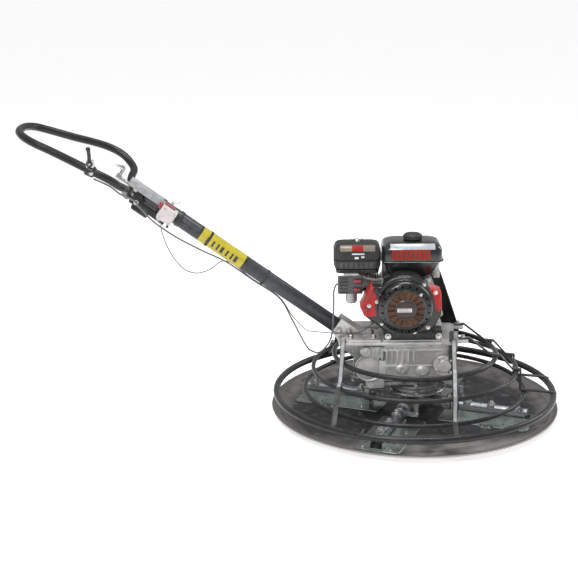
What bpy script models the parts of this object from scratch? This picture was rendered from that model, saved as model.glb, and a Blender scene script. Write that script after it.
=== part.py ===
"""Walk-behind power trowel with a float pan.

The origin is on the rotor's axis at the floor. +Z is up, the handle runs toward -X,
the recoil starter faces -Y and the belt drive is on the +Y side. All sizes in metres.
"""
import bpy
import bmesh
from math import atan2, cos, pi, radians, sin, tau
from mathutils import Matrix, Vector

GAP = 0.0003                      # clearance between pieces that touch

# float pan and blades
PAN_FLAT_R = 0.413
PAN_LIP_R = 0.475
PAN_LIP_H = 0.030
PAN_T = 0.003
ROTOR_TURN = radians(-22)         # where the rotor stands at rest
BLADE_IN = 0.100
BLADE_OUT = 0.400
BLADE_HALF = 0.075
BLADE_T = 0.003
ARM_Z = 0.042                     # pitch axis of the four arms
ARM_R = 0.013
ARM_IN = 0.030
ARM_OUT = 0.386
SOCKET_R = 0.021
SOCKET_OUT = 0.130
HUB_R = 0.045
HUB_TOP = 0.080
FINGER_SIDE = 0.055               # finger's offset beside the pitch axis
FINGER_RISE = 0.037               # and above it
FINGER_R = 0.006
PLATE_Z = ARM_Z + FINGER_RISE + FINGER_R + GAP
PLATE_T = 0.006
PLATE_R = 0.105
COLLAR_Z = PLATE_Z + PLATE_T + GAP
COLLAR_H = 0.0125

# yoke that presses the collar down
YOKE_X = -0.150
YOKE_Z = 0.120
PRONG_Y = 0.059
TAIL = 0.050
SHEAVE_R = 0.020
SHEAVE_X = YOKE_X - TAIL - SHEAVE_R
SHEAVE_Z = 0.2465

# gearbox
SHAFT_R = 0.0145
WHEEL_Z = 0.190
MODULE = 0.004
WORM_STARTS = 2
WHEEL_TEETH = 34
WORM_R = 0.020
WHEEL_R = MODULE * WHEEL_TEETH / 2
WORM_X = WORM_R + WHEEL_R
INPUT_R = 0.010
BOX_LOW = 0.130
BOX_TOP = 0.250
COVER_TOP = 0.262
DECK_TOP = COVER_TOP + GAP + 0.012

# engine
CRANK_X = -0.045
CRANK_Z = 0.405
CRANK_R = 0.0125
BASE_Z = 0.310
SHROUD_R = 0.100
GRIP_R = 0.098                    # the recoil rope's eye, from the crank's axis
CAP_AT = Vector((-0.012, 0.010, 0.592))
PULL = Vector((-cos(radians(51.7)), 0, sin(radians(51.7))))
BELT_Y = 0.150
DRIVE_R = 0.034
DRIVEN_R = 0.052

# guard cage
GUARD = {                         # ring: radius, height, wire radius, segments
    "guard_ring_outer": (0.459, 0.074, 0.0110, 48),
    "guard_ring_lower": (0.363, 0.083, 0.0070, 40),
    "guard_ring_middle": (0.336, 0.155, 0.0070, 40),
    "guard_ring_top": (0.267, 0.204, 0.0080, 36),
}
LEG_W = 0.016
LEG_T = 0.005
SIDE_LEG_Y = 0.075                # offset of the two legs on the right

# handle
TUBE_R = 0.025
TUBE_BORE = 0.021
HANDLE_FOOT = Vector((-0.198, 0.0, 0.255))
HANDLE_DIR = Vector((-0.812, 0.0, 0.584)).normalized()
TUBE_FROM = 0.046
TUBE_TO = 0.772
SCREW_R = 0.008
BAR_R = 0.0125
LEVER_AT = Vector((-1.020, -0.2055, 0.8665))

BLACK = ("satin_black_paint", (0.018, 0.018, 0.020), 0.42, 0.0)
RED = ("red_paint", (0.62, 0.025, 0.020), 0.35, 0.0)
CAST = ("cast_aluminium", (0.46, 0.46, 0.45), 0.48, 0.9)
STEEL = ("bright_steel", (0.55, 0.55, 0.54), 0.30, 1.0)
PAN_STEEL = ("rolled_steel", (0.10, 0.10, 0.105), 0.45, 0.9)
TUBE_GREY = ("dark_grey_paint", (0.050, 0.053, 0.058), 0.38, 0.0)
PLASTIC = ("black_plastic", (0.022, 0.022, 0.023), 0.55, 0.0)
RUBBER = ("black_rubber", (0.015, 0.015, 0.015), 0.80, 0.0)
WHITE = ("white_plastic", (0.72, 0.70, 0.68), 0.45, 0.0)
RED_PLASTIC = ("red_plastic", (0.60, 0.04, 0.04), 0.40, 0.0)
GALVANISED = ("galvanised_steel", (0.40, 0.41, 0.42), 0.42, 0.9)

X, Y, Z = Vector((1, 0, 0)), Vector((0, 1, 0)), Vector((0, 0, 1))


# ---------------------------------------------------------------- scene and helpers

def clear_scene():
    for old in list(bpy.data.objects):
        bpy.data.objects.remove(old, do_unlink=True)


def collection(name):
    group = bpy.data.collections.new(name)
    bpy.context.scene.collection.children.link(group)
    return group


clear_scene()
PARTS = collection("power_trowel")
CUTTERS = collection("cutters")


def material(spec):
    name, colour, roughness, metallic = spec
    found = bpy.data.materials.get(name)
    if found:
        return found
    made = bpy.data.materials.new(name)
    made.use_nodes = True
    shader = made.node_tree.nodes["Principled BSDF"]
    shader.inputs["Base Color"].default_value = (*colour, 1.0)
    shader.inputs["Roughness"].default_value = roughness
    shader.inputs["Metallic"].default_value = metallic
    return made


def add(name, data, spec, place=Matrix()):
    """A new named piece; with no material it is a cutter or a joining guide."""
    piece = bpy.data.objects.new(name, data)
    piece.matrix_world = place
    if spec:
        data.materials.append(material(spec))
        PARTS.objects.link(piece)
    else:
        CUTTERS.objects.link(piece)
        piece.hide_render = True
        piece.display_type = "WIRE"
    return piece


def frame_along(origin, axis, across=None):
    """A matrix whose +Z runs along axis, and whose +X leans toward across."""
    z = Vector(axis).normalized()
    guide = Vector(across) if across else (X if abs(z.x) < 0.9 else Y)
    x = (guide - z * guide.dot(z)).normalized()
    y = z.cross(x)
    turn = Matrix((x, y, z)).transposed().to_4x4()
    return Matrix.Translation(origin) @ turn


def bevel(piece, width, segments=2):
    mod = piece.modifiers.new("edges", "BEVEL")
    mod.width = width
    mod.segments = segments
    mod.limit_method = "ANGLE"
    mod.angle_limit = radians(40)


def smooth(mesh):
    mesh.shade_smooth()
    mesh.set_sharp_from_angle(angle=radians(40))


def block(name, low, high, spec, edge=0.0, segments=2, place=Matrix()):
    low, high = Vector(low), Vector(high)
    mesh = bpy.data.meshes.new(name)
    bm = bmesh.new()
    bmesh.ops.create_cube(bm, size=1.0, matrix=Matrix.Diagonal((*(high - low), 1.0)))
    bm.to_mesh(mesh)
    bm.free()
    piece = add(name, mesh, spec, place @ Matrix.Translation((low + high) / 2))
    if edge:
        bevel(piece, edge, segments)
    return piece


def rod(name, start, end, radius, spec, sides=16):
    start, end = Vector(start), Vector(end)
    mesh = bpy.data.meshes.new(name)
    bm = bmesh.new()
    bmesh.ops.create_cone(
        bm, cap_ends=True, segments=sides, radius1=radius, radius2=radius,
        depth=(end - start).length)
    bm.to_mesh(mesh)
    bm.free()
    smooth(mesh)
    return add(name, mesh, spec, frame_along((start + end) / 2, end - start))


def ball(name, centre, radius, spec, sides=12):
    mesh = bpy.data.meshes.new(name)
    bm = bmesh.new()
    bmesh.ops.create_uvsphere(bm, u_segments=sides, v_segments=sides // 2, radius=radius)
    bm.to_mesh(mesh)
    bm.free()
    smooth(mesh)
    return add(name, mesh, spec, Matrix.Translation(centre))


def turned(name, profile, spec, origin=(0, 0, 0), axis=Z, steps=24):
    """A profile of (radius, height) pairs, listed down its outer side, turned about axis.

    A profile that starts and ends at radius 0 is solid; any other closes on itself."""
    mesh = bpy.data.meshes.new(name)
    points = [(r, 0.0, h) for r, h in profile]
    edges = [(i, i + 1) for i in range(len(points) - 1)]
    if profile[0][0] > 0:
        edges.append((len(points) - 1, 0))
    mesh.from_pydata(points, edges, [])
    piece = add(name, mesh, spec, frame_along(origin, axis))
    mod = piece.modifiers.new("turn", "SCREW")
    mod.steps = mod.render_steps = steps
    mod.use_merge_vertices = True
    mod.merge_threshold = 1e-5
    mod.use_smooth_shade = True
    return piece


def solid(curve_piece, spec):
    """The curve's mesh with its caps welded on, as a new piece of the same name."""
    bpy.context.view_layer.update()
    shape = curve_piece.evaluated_get(bpy.context.evaluated_depsgraph_get())
    mesh = bpy.data.meshes.new_from_object(shape)
    bm = bmesh.new()
    bm.from_mesh(mesh)
    bmesh.ops.remove_doubles(bm, verts=bm.verts, dist=1e-5)
    bmesh.ops.recalc_face_normals(bm, faces=bm.faces)
    bm.to_mesh(mesh)
    bm.free()
    mesh.materials.clear()
    name, place = curve_piece.name, curve_piece.matrix_world.copy()
    bpy.data.objects.remove(curve_piece, do_unlink=True)
    return add(name, mesh, spec, place)


def pipe(name, points, radius, spec, closed=False, detail=2):
    """A round wire or tube through the points."""
    curve = bpy.data.curves.new(name, "CURVE")
    curve.dimensions = "3D"
    curve.bevel_depth = radius
    curve.bevel_resolution = detail
    curve.use_fill_caps = not closed
    line = curve.splines.new("POLY")
    line.points.add(len(points) - 1)
    for spot, at in zip(line.points, points):
        spot.co = (*at, 1.0)
    line.use_cyclic_u = closed
    line.use_smooth = True
    return solid(add(name, curve, None), spec)


def flat(name, outline, thickness, spec, place):
    """A flat plate with the outline of (x, y) pairs, centred on place's XY plane."""
    curve = bpy.data.curves.new(name, "CURVE")
    curve.dimensions = "2D"
    curve.fill_mode = "BOTH"
    curve.extrude = thickness / 2
    line = curve.splines.new("POLY")
    line.points.add(len(outline) - 1)
    for spot, (x, y) in zip(line.points, outline):
        spot.co = (x, y, 0.0, 1.0)
    line.use_cyclic_u = True
    return solid(add(name, curve, None, place), spec)


def boolean(target, tool, how):
    mod = target.modifiers.new(how.lower(), "BOOLEAN")
    mod.operation = how
    mod.solver = "EXACT"
    mod.object = tool
    return target


def cut(target, *tools):
    for tool in tools:
        boolean(target, tool, "DIFFERENCE")
    return target


def join(target, *tools):
    for tool in tools:
        boolean(target, tool, "UNION")
    return target


def smooth_path(points, count):
    """Evenly shared points on a Catmull-Rom curve through the route's points."""
    ways = [Vector(p) for p in points]
    ways = [2 * ways[0] - ways[1]] + ways + [2 * ways[-1] - ways[-2]]
    spans = len(ways) - 3
    path = []
    for step in range(count + 1):
        along = step * spans / count
        i = min(int(along), spans - 1)
        t = along - i
        a, b, c, d = ways[i:i + 4]
        path.append(0.5 * (2 * b + (c - a) * t + (2 * a - 5 * b + 4 * c - d) * t * t
                           + (3 * b - a - 3 * c + d) * t ** 3))
    return path


def circle(radius, count, centre=(0.0, 0.0), start=0.0, end=tau):
    """Points round a circle, or along an arc of it."""
    whole = abs(end - start - tau) < 1e-9
    steps = count if whole else count - 1
    return [(centre[0] + radius * cos(start + (end - start) * i / steps),
             centre[1] + radius * sin(start + (end - start) * i / steps))
            for i in range(count)]


def pivot(name, place, parent=None):
    """An empty on a joint's axis, which carries the pieces that move with it."""
    marker = bpy.data.objects.new(name, None)
    marker.location = place
    marker.empty_display_size = 0.03
    PARTS.objects.link(marker)
    if parent:
        hang(marker, parent)
    return marker


def hang(piece, marker):
    piece.parent = marker
    bpy.context.view_layer.update()
    piece.matrix_parent_inverse = marker.matrix_world.inverted()


def side_view(y):
    """Plates drawn in (x, z) and lying in the plane at this y."""
    return Matrix.Translation((0, y, 0)) @ Matrix.Rotation(pi / 2, 4, "X")


def on_handle(along, above=0.0, side=0.0):
    """A point by its distance up the handle tube, above its axis and to one side."""
    up = Vector((HANDLE_DIR.z, 0, -HANDLE_DIR.x))
    return HANDLE_FOOT + HANDLE_DIR * along + up * above + Y * side


# ---------------------------------------------------------------- float pan, blades, rotor

def rotor_turn(quarter):
    """The turn about the rotor's axis that brings +X to the arm of this number."""
    return Matrix.Rotation(ROTOR_TURN + quarter * pi / 2, 4, "Z")


def float_pan():
    rise = PAN_LIP_H - PAN_T
    pan = turned("float_pan", [
        (0, PAN_T), (PAN_FLAT_R - 0.002, PAN_T), (PAN_LIP_R - 0.010, rise),
        (PAN_LIP_R - 0.003, PAN_LIP_H), (PAN_LIP_R, PAN_LIP_H - 0.002),
        (PAN_LIP_R - 0.002, rise - 0.004), (PAN_FLAT_R, 0), (0, 0)], PAN_STEEL, steps=52)
    lugs = bmesh.new()
    for quarter in range(4):
        for side in (-1, 1):
            middle = Vector((0.27, side * (BLADE_HALF + 0.008), PAN_T + 0.005))
            place = rotor_turn(quarter) @ Matrix.Translation(middle)
            bmesh.ops.create_cube(
                lugs, size=1.0, matrix=place @ Matrix.Diagonal((0.040, 0.006, 0.012, 1)))
    mesh = bpy.data.meshes.new("pan_lugs")
    lugs.to_mesh(mesh)
    lugs.free()
    return join(pan, add("pan_lugs", mesh, None))


def spider():
    """The driven hub, with four sockets that the arms turn in."""
    hub = turned("spider_hub", [
        (0, HUB_TOP), (HUB_R, HUB_TOP), (HUB_R, 0.030), (0.036, 0.019), (0, 0.019)], CAST)
    centre = Z * ARM_Z
    ways = [rotor_turn(quarter) @ X for quarter in range(4)]
    for number, out in enumerate(ways):
        join(hub, rod(f"socket_{number}", centre + out * 0.020,
                      centre + out * SOCKET_OUT, SOCKET_R, None))
    for number, out in enumerate(ways):
        cut(hub, rod(f"socket_bore_{number}", centre + out * (ARM_IN - 0.001),
                     centre + out * (SOCKET_OUT + 0.020), ARM_R + GAP, None))
    return cut(hub, rod("hub_bore", (0, 0, 0.024), (0, 0, 0.100), SHAFT_R + GAP, None))


def arm(quarter, rotor):
    """One arm with its pitch finger, and the blade bolted under it."""
    turn = rotor_turn(quarter)
    out, across = turn @ X, turn @ Y
    number = quarter + 1
    hinge = pivot(f"arm_pivot_{number}", Z * ARM_Z, rotor)
    bar = rod(f"arm_{number}", Z * ARM_Z + out * ARM_IN, Z * ARM_Z + out * ARM_OUT,
              ARM_R, GALVANISED)
    near, far = 0.136, 0.155
    foot = block(f"lever_foot_{number}", (near, 0, ARM_Z - 0.006),
                 (far, FINGER_SIDE + FINGER_R, ARM_Z + 0.008), None, place=turn)
    post = block(f"lever_post_{number}", (near, FINGER_SIDE - 0.009, ARM_Z - 0.004),
                 (far, FINGER_SIDE + 0.0055, ARM_Z + FINGER_RISE), None, place=turn)
    tip = Z * (ARM_Z + FINGER_RISE) + across * FINGER_SIDE
    finger = rod(f"finger_{number}", tip + out * 0.068, tip + out * (far - 0.001),
                 FINGER_R, None, sides=16)
    clamp = block(f"blade_clamp_{number}", (0.160, -0.016, ARM_Z - ARM_R - 0.0005),
                  (ARM_OUT - 0.005, 0.016, ARM_Z - 0.002), None, place=turn)
    join(bar, foot, post, finger, clamp)
    hang(bar, hinge)

    base = PAN_T + GAP
    blade = block(f"blade_{number}", (BLADE_IN, -BLADE_HALF, base),
                  (BLADE_OUT, BLADE_HALF, base + BLADE_T), GALVANISED, place=turn)
    stiffener = block(f"stiffener_{number}", (0.150, -0.022, base + BLADE_T - 0.001),
                      (BLADE_OUT - 0.006, 0.022, ARM_Z - ARM_R - 0.0005 - GAP), None,
                      place=turn)
    hang(join(blade, stiffener), hinge)


def pitch_stack(rotor):
    """The plate that turns with the rotor, and the still collar on top of it."""
    plate = turned("pressure_plate", [
        (0.048, PLATE_Z + PLATE_T), (PLATE_R, PLATE_Z + PLATE_T),
        (PLATE_R, PLATE_Z), (0.048, PLATE_Z)], STEEL, steps=28)
    hang(plate, rotor)
    turned("thrust_collar", [
        (0.050, COLLAR_Z + COLLAR_H), (0.075, COLLAR_Z + COLLAR_H),
        (0.077, COLLAR_Z), (0.050, COLLAR_Z)], CAST)


def yoke():
    """A fork over the collar; its tail is lifted by the pitch cable."""
    axle = rod("yoke", (YOKE_X, -0.066, YOKE_Z), (YOKE_X, 0.066, YOKE_Z), 0.0105, CAST)
    pads = [rod("trunnions", (YOKE_X, -0.084, YOKE_Z), (YOKE_X, 0.084, YOKE_Z), 0.006, None)]
    for side, word in ((-1, "front"), (1, "back")):
        pads.append(block(f"prong_{word}", (YOKE_X, side * PRONG_Y - 0.0065, 0.1105),
                          (0.004, side * PRONG_Y + 0.0065, 0.1225), None))
        contact = COLLAR_Z + COLLAR_H + GAP + 0.005
        pads.append(rod(f"prong_pad_{word}", (0, side * PRONG_Y - 0.0065, contact),
                        (0, side * PRONG_Y + 0.0065, contact), 0.005, None, sides=12))
    tail = block("yoke_tail", (YOKE_X - TAIL - 0.012, -0.011, 0.114),
                 (YOKE_X, 0.011, 0.124), None)
    join(axle, *pads, tail)
    hole = rod("tail_hole", (YOKE_X - TAIL, 0, 0.10), (YOKE_X - TAIL, 0, 0.14),
               0.0062, None, sides=16)
    cut(axle, hole)
    hang(axle, pivot("yoke_pivot", (YOKE_X, 0, YOKE_Z)))

    lift_x = YOKE_X - TAIL
    lift = rod("lift_rod", (lift_x, 0, 0.105), (lift_x, 0, 0.222), 0.003, STEEL, sides=12)
    join(lift, ball("lift_ball", (lift_x, 0, 0.114 - 0.0078), 0.009, None))

    turned("cable_sheave", [
        (0.0063, 0.006), (0.022, 0.006), (0.019, 0.001), (0.019, -0.001),
        (0.022, -0.006), (0.0063, -0.006)], STEEL,
        origin=(SHEAVE_X, 0, SHEAVE_Z), axis=Y, steps=18)


# ---------------------------------------------------------------- gearbox

def twisted(name, outline, low, high, turn, slices, spec, place):
    """An outline of (x, y) pairs drawn along +Z while it turns about it."""
    bm = bmesh.new()
    rows = []
    for level in range(slices + 1):
        share = level / slices
        spin = Matrix.Rotation(turn * share, 4, "Z")
        lift = Z * (low + (high - low) * share)
        rows.append([bm.verts.new(spin @ Vector((x, y, 0)) + lift) for x, y in outline])
    count = len(outline)
    for lower, upper in zip(rows, rows[1:]):
        for i in range(count):
            j = (i + 1) % count
            bm.faces.new((lower[i], lower[j], upper[j], upper[i]))
    bm.faces.new(rows[-1])
    bm.faces.new(rows[0][::-1])
    mesh = bpy.data.meshes.new(name)
    bm.to_mesh(mesh)
    bm.free()
    return add(name, mesh, spec, place)


def teeth(count, root, tip, share):
    """The outline of a toothed disc; share is the tooth's part of the pitch at mid-height."""
    outline = []
    for tooth in range(count):
        for radius, edge in ((root, -0.62), (tip, -0.40), (tip, 0.40), (root, 0.62)):
            angle = tau / count * (tooth + edge * share)
            outline.append((radius * cos(angle), radius * sin(angle)))
    return outline


def worm_drive(rotor, input_marker):
    """A two-start worm on the input shaft, beside a wheel on the rotor's shaft."""
    half_face = 0.010
    lead = pi * MODULE * WORM_STARTS
    helix = half_face * 2 / WHEEL_R * lead / (tau * WORM_R)
    tip, root = WHEEL_R + 0.0030, WHEEL_R - 0.0045
    step = Matrix.Rotation(-helix / 2 + tau / WHEEL_TEETH / 2, 4, "Z")
    wheel = twisted("worm_wheel", teeth(WHEEL_TEETH, root, tip, 0.34), -half_face,
                    half_face, helix, 1, ("bronze", (0.45, 0.27, 0.10), 0.4, 1.0),
                    Matrix.Translation((0, 0, WHEEL_Z)) @ step)
    cut(wheel, rod("wheel_bore", (0, 0, 0.15), (0, 0, 0.23), SHAFT_R + GAP, None))
    hang(wheel, rotor)

    length = 0.060
    turn = tau * length / lead
    middle_tooth = Matrix.Rotation(-turn / 2, 4, "Z")
    worm = twisted("worm_shaft", teeth(WORM_STARTS, WORM_R - 0.0045, WORM_R + 0.0030, 0.34),
                   -length / 2, length / 2, turn, 30, STEEL,
                   frame_along((WORM_X, 0, WHEEL_Z), Y) @ middle_tooth)
    core = rod("worm_core", (WORM_X, -0.031, WHEEL_Z), (WORM_X, 0.031, WHEEL_Z),
               WORM_R - 0.0042, None)
    shaft = rod("input_shaft_core", (WORM_X, -0.084, WHEEL_Z), (WORM_X, 0.166, WHEEL_Z),
                INPUT_R, None)
    join(worm, core, shaft)
    hang(worm, input_marker)


def gearbox(rotor):
    """A cast housing that is open on top, with its cover, output shaft and bearings."""
    box = block("gearbox_housing", (-0.112, -0.092, BOX_LOW), (0.130, 0.092, BOX_TOP),
                CAST, edge=0.010, segments=1)
    lug = block("handle_lug", (-0.176, -0.0282, 0.150), (-0.10, 0.0282, BOX_TOP - 0.002),
                None)
    join(box, lug)
    for side, word in ((-1, "front"), (1, "back")):
        low, high = sorted((side * 0.0702, side * 0.0802))
        join(box, block(f"yoke_ear_{word}", (YOKE_X - 0.014, low, 0.106),
                        (-0.105, high, 0.165), None))
    boss = rod("front_boss", (WORM_X, -0.105, WHEEL_Z), (WORM_X, -0.080, WHEEL_Z),
               0.036, None)
    neck = rod("lower_boss", (0, 0, 0.1255), (0, 0, 0.140), 0.040, None, sides=24)
    join(box, boss, neck)
    cavity = rod("wheel_room", (0, 0, 0.160), (0, 0, 0.300), 0.075, None, sides=28)
    worm_room = block("worm_room", (0.050, -0.050, 0.160), (0.118, 0.050, 0.300), None)
    seat_low = rod("lower_seat", (0, 0, 0.138), (0, 0, 0.170), 0.026 + GAP, None, sides=24)
    shaft_hole = rod("shaft_hole", (0, 0, 0.10), (0, 0, 0.17), SHAFT_R + 0.002, None)
    tunnel = rod("input_tunnel", (WORM_X, -0.088, WHEEL_Z), (WORM_X, 0.110, WHEEL_Z),
                 0.0200 + GAP, None)
    pin_hole = rod("pin_hole", (YOKE_X, -0.10, YOKE_Z), (YOKE_X, 0.10, YOKE_Z),
                   0.006 + GAP, None)
    cut(box, cavity, worm_room, seat_low, shaft_hole, tunnel, pin_hole)

    cover = block("gearbox_cover", (-0.112, -0.096, BOX_TOP + GAP), (0.134, 0.096, COVER_TOP),
                  CAST)
    seat_top = rod("upper_seat", (0, 0, 0.240), (0, 0, 0.2565), 0.026 + GAP, None, sides=24)
    cut(cover, seat_top)

    shaft = turned("output_shaft", [
        (0, 0.2545), (SHAFT_R, 0.2545), (SHAFT_R, 0.026), (0, 0.026)], STEEL, steps=20)
    hang(shaft, rotor)
    ring = [(SHAFT_R + GAP, 0.006), (0.026, 0.006), (0.026, -0.006), (SHAFT_R + GAP, -0.006)]
    turned("output_bearing", ring, STEEL, origin=(0, 0, 0.1445), steps=20)
    small = [(INPUT_R + GAP, 0.006), (0.019, 0.006), (0.019, -0.006), (INPUT_R + GAP, -0.006)]
    turned("input_bearing", small, STEEL, origin=(WORM_X, 0.078, WHEEL_Z), axis=Y, steps=18)


def pulley(name, radius, low, high, bore, centre):
    """A single-groove V-belt pulley between two planes at y."""
    rim = 0.0075
    return turned(name, [
        (bore, high - BELT_Y), (radius, high - BELT_Y), (radius, rim),
        (radius - 0.009, 0.0058), (radius - 0.009, -0.0058), (radius, -rim),
        (radius, low - BELT_Y), (bore, low - BELT_Y)], STEEL,
        origin=(centre[0], BELT_Y, centre[1]), axis=Y, steps=22)


def loop_outline(grow):
    """The outline of a belt round both pulleys, at a distance outside their rims."""
    top, low = Vector((CRANK_X, CRANK_Z)), Vector((WORM_X, WHEEL_Z))
    r_top, r_low = DRIVE_R + grow, DRIVEN_R + grow
    run = low - top
    heading = atan2(run.y, run.x)
    lean = (r_low - r_top) / run.length
    side = pi / 2 + lean
    near = circle(r_top, 12, top, heading + side, heading - side + tau)
    far = circle(r_low, 12, low, heading - side, heading + side)
    return near + far


def belt_drive(crank_marker, input_marker):
    hang(pulley("clutch_drum_pulley", DRIVE_R, 0.112, 0.164, CRANK_R + GAP,
                (CRANK_X, CRANK_Z)), crank_marker)
    hang(pulley("driven_pulley", DRIVEN_R, 0.139, 0.161, INPUT_R + GAP,
                (WORM_X, WHEEL_Z)), input_marker)
    belt = flat("v_belt", loop_outline(-0.001), 0.0085, RUBBER, side_view(BELT_Y))
    cut(belt, flat("belt_inside", loop_outline(-0.0078), 0.030, None, side_view(BELT_Y)))
    outline = [(-0.112, 0.395), (-0.100, 0.450), (-0.062, 0.476), (0.050, 0.476),
               (0.092, 0.448), (0.112, 0.392), (0.160, 0.250), (0.158, 0.160),
               (0.130, 0.122), (0.050, 0.122), (0.015, 0.160)]
    guard = flat("belt_guard", outline, 0.056, BLACK, side_view(0.150))
    middle = Vector((0.028, 0.300))
    inner = [tuple(middle + (Vector(p) - middle) * 0.965) for p in outline]
    cut(guard, flat("guard_inside", inner, 0.060, None, side_view(0.145)))


# ---------------------------------------------------------------- engine

def deck():
    """The steel deck on the gearbox, and the two rails the engine stands on."""
    plate = block("engine_deck", (-0.255, -0.108, COVER_TOP + GAP), (0.128, 0.108, DECK_TOP),
                  BLACK)
    for side, word in ((-1, "front"), (1, "back")):
        middle = side * SIDE_LEG_Y
        join(plate, block(f"deck_nose_{word}", (0.10, middle - 0.014, COVER_TOP + GAP),
                          (0.166, middle + 0.014, DECK_TOP), None))
    window = block("belt_window", (0.062, 0.100, 0.20), (0.170, 0.20, 0.30), None)
    cable = block("handle_window", (-0.30, -0.036, 0.20), (-0.135, 0.036, 0.30), None)
    cut(plate, window, cable)
    for side, word in ((-1, "front"), (1, "back")):
        low, high = sorted((side * 0.050, side * 0.098))
        join(plate, block(f"engine_rail_{word}", (-0.108, low, DECK_TOP - 0.002),
                          (0.080, high, BASE_Z - GAP), None))


def engine_block(crank_marker):
    case = block("crankcase", (-0.110, -0.054, BASE_Z), (0.062, 0.085, 0.446), CAST)
    feet = block("feet", (-0.118, -0.058, BASE_Z), (0.082, 0.096, BASE_Z + 0.012), None)
    stay = block("tank_stay", (-0.085, -0.030, 0.440), (0.045, 0.060, 0.468 - GAP), None)
    join(case, feet, stay)
    room = block("crank_room", (-0.100, -0.040, 0.330), (0.052, 0.120, 0.436), None)
    bore = rod("crank_bore", (CRANK_X, -0.1, CRANK_Z), (CRANK_X, 0.0, CRANK_Z),
               CRANK_R + GAP, None)
    cut(case, room, bore)
    side = block("crankcase_cover", (-0.110, 0.085 + GAP, 0.3225), (0.062, 0.100, 0.446), CAST)
    hub = rod("cover_boss", (CRANK_X, 0.09, CRANK_Z), (CRANK_X, 0.108, CRANK_Z), 0.024, None)
    hole = rod("cover_bore", (CRANK_X, 0.05, CRANK_Z), (CRANK_X, 0.12, CRANK_Z),
               CRANK_R + GAP, None)
    cut(join(side, hub), hole)

    shaft = rod("crankshaft", (CRANK_X, -0.134, CRANK_Z), (CRANK_X, 0.166, CRANK_Z), CRANK_R,
                STEEL)
    web = rod("crank_web", (CRANK_X, 0.0, CRANK_Z), (CRANK_X, 0.030, CRANK_Z), 0.019, None)
    hang(join(shaft, web), crank_marker)
    wheel = turned("flywheel", [
        (CRANK_R + GAP, 0.014), (0.050, 0.014), (0.056, 0.022), (0.082, 0.022),
        (0.082, -0.010), (CRANK_R + GAP, -0.010)], CAST,
        origin=(CRANK_X, -0.088, CRANK_Z), axis=-Y)
    hang(wheel, crank_marker)

    lean = radians(18)
    outward = Vector((-cos(lean), 0, sin(lean)))
    base = Vector((CRANK_X, 0.015, CRANK_Z + 0.001))
    stages = (("cylinder_and_head", 0.0770, 0.1600, 0.037, CAST),
              ("rocker_cover", 0.1603, 0.187, 0.030, STEEL))
    for name, start, stop, half, spec in stages:
        place = frame_along(base + outward * (start + stop) / 2, outward, Y)
        size = Vector((half, half, (stop - start) / 2))
        block(name, -size, size, spec, place=place)


def shroud_outline(inset):
    """Round about the crank, drawn out at the lower left to feed air to the cylinder."""
    arc = circle(SHROUD_R - inset, 18, (CRANK_X, CRANK_Z), radians(140), radians(34))
    right = [(0.070 - inset, 0.449), (0.074 - inset, 0.376), (0.048, 0.328 + inset),
             (0.010, 0.3125 + inset)]
    left = [(-0.098, 0.3125 + inset), (-0.176 + inset / 2, 0.372 + inset),
            (-0.188 + inset, 0.400), (-0.154 + inset, 0.468)]
    return arc + right + left


def cooling(crank_marker):
    cover = flat("fan_shroud", shroud_outline(0.0), 0.074, RED, side_view(-0.0980))
    inside = flat("shroud_inside", shroud_outline(0.004), 0.074, None, side_view(-0.0940))
    mouth = rod("shroud_mouth", (CRANK_X, -0.16, CRANK_Z), (CRANK_X, -0.10, CRANK_Z), 0.080,
                None, sides=24)
    cut(cover, inside, mouth)
    dish = turned("recoil_cover", [
        (0, 0.040), (0.062, 0.040), (0.080, 0.034), (0.088, 0.022), (0.088, 0.006),
        (0.096, 0.005), (0.096, 0), (0.083, 0), (0.083, 0.020), (0.076, 0.029),
        (0.059, 0.035), (0, 0.035)], BLACK,
        origin=(CRANK_X, -0.1353, CRANK_Z), axis=-Y, steps=28)
    edge = Vector((CRANK_X, -0.148, CRANK_Z)) + GRIP_R * Vector((-cos(radians(30)), 0,
                                                              sin(radians(30))))
    cut(dish, rod("rope_hole", edge - PULL * 0.035, edge + PULL * 0.03, 0.004, None, sides=12))
    hold = edge + PULL * 0.0145
    grip = rod("recoil_grip", hold - Y * 0.036, hold + Y * 0.010, 0.0085, PLASTIC)
    join(grip, rod("starter_rope", edge - PULL * 0.146, hold, 0.0022, None, sides=8))
    hang(grip, pivot("recoil_grip_origin", edge))
    reel = turned("starter_pulley", [
        (0, 0.006), (0.034, 0.006), (0.034, -0.006), (0, -0.006)], PLASTIC,
        origin=(CRANK_X, -0.148, CRANK_Z), axis=-Y, steps=20)
    hang(reel, pivot("starter_pulley_axis", (CRANK_X, -0.148, CRANK_Z)))
    switch = Vector((-0.168, -0.1350 - GAP, 0.392))
    knob = rod("engine_switch", switch, switch - Y * 0.006, 0.009, RED_PLASTIC, sides=16)
    join(knob, block("switch_tab", switch + Vector((-0.002, -0.012, -0.008)),
                     switch + Vector((0.002, -0.004, 0.008)), None))
    hang(knob, pivot("engine_switch_pivot", switch))


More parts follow.
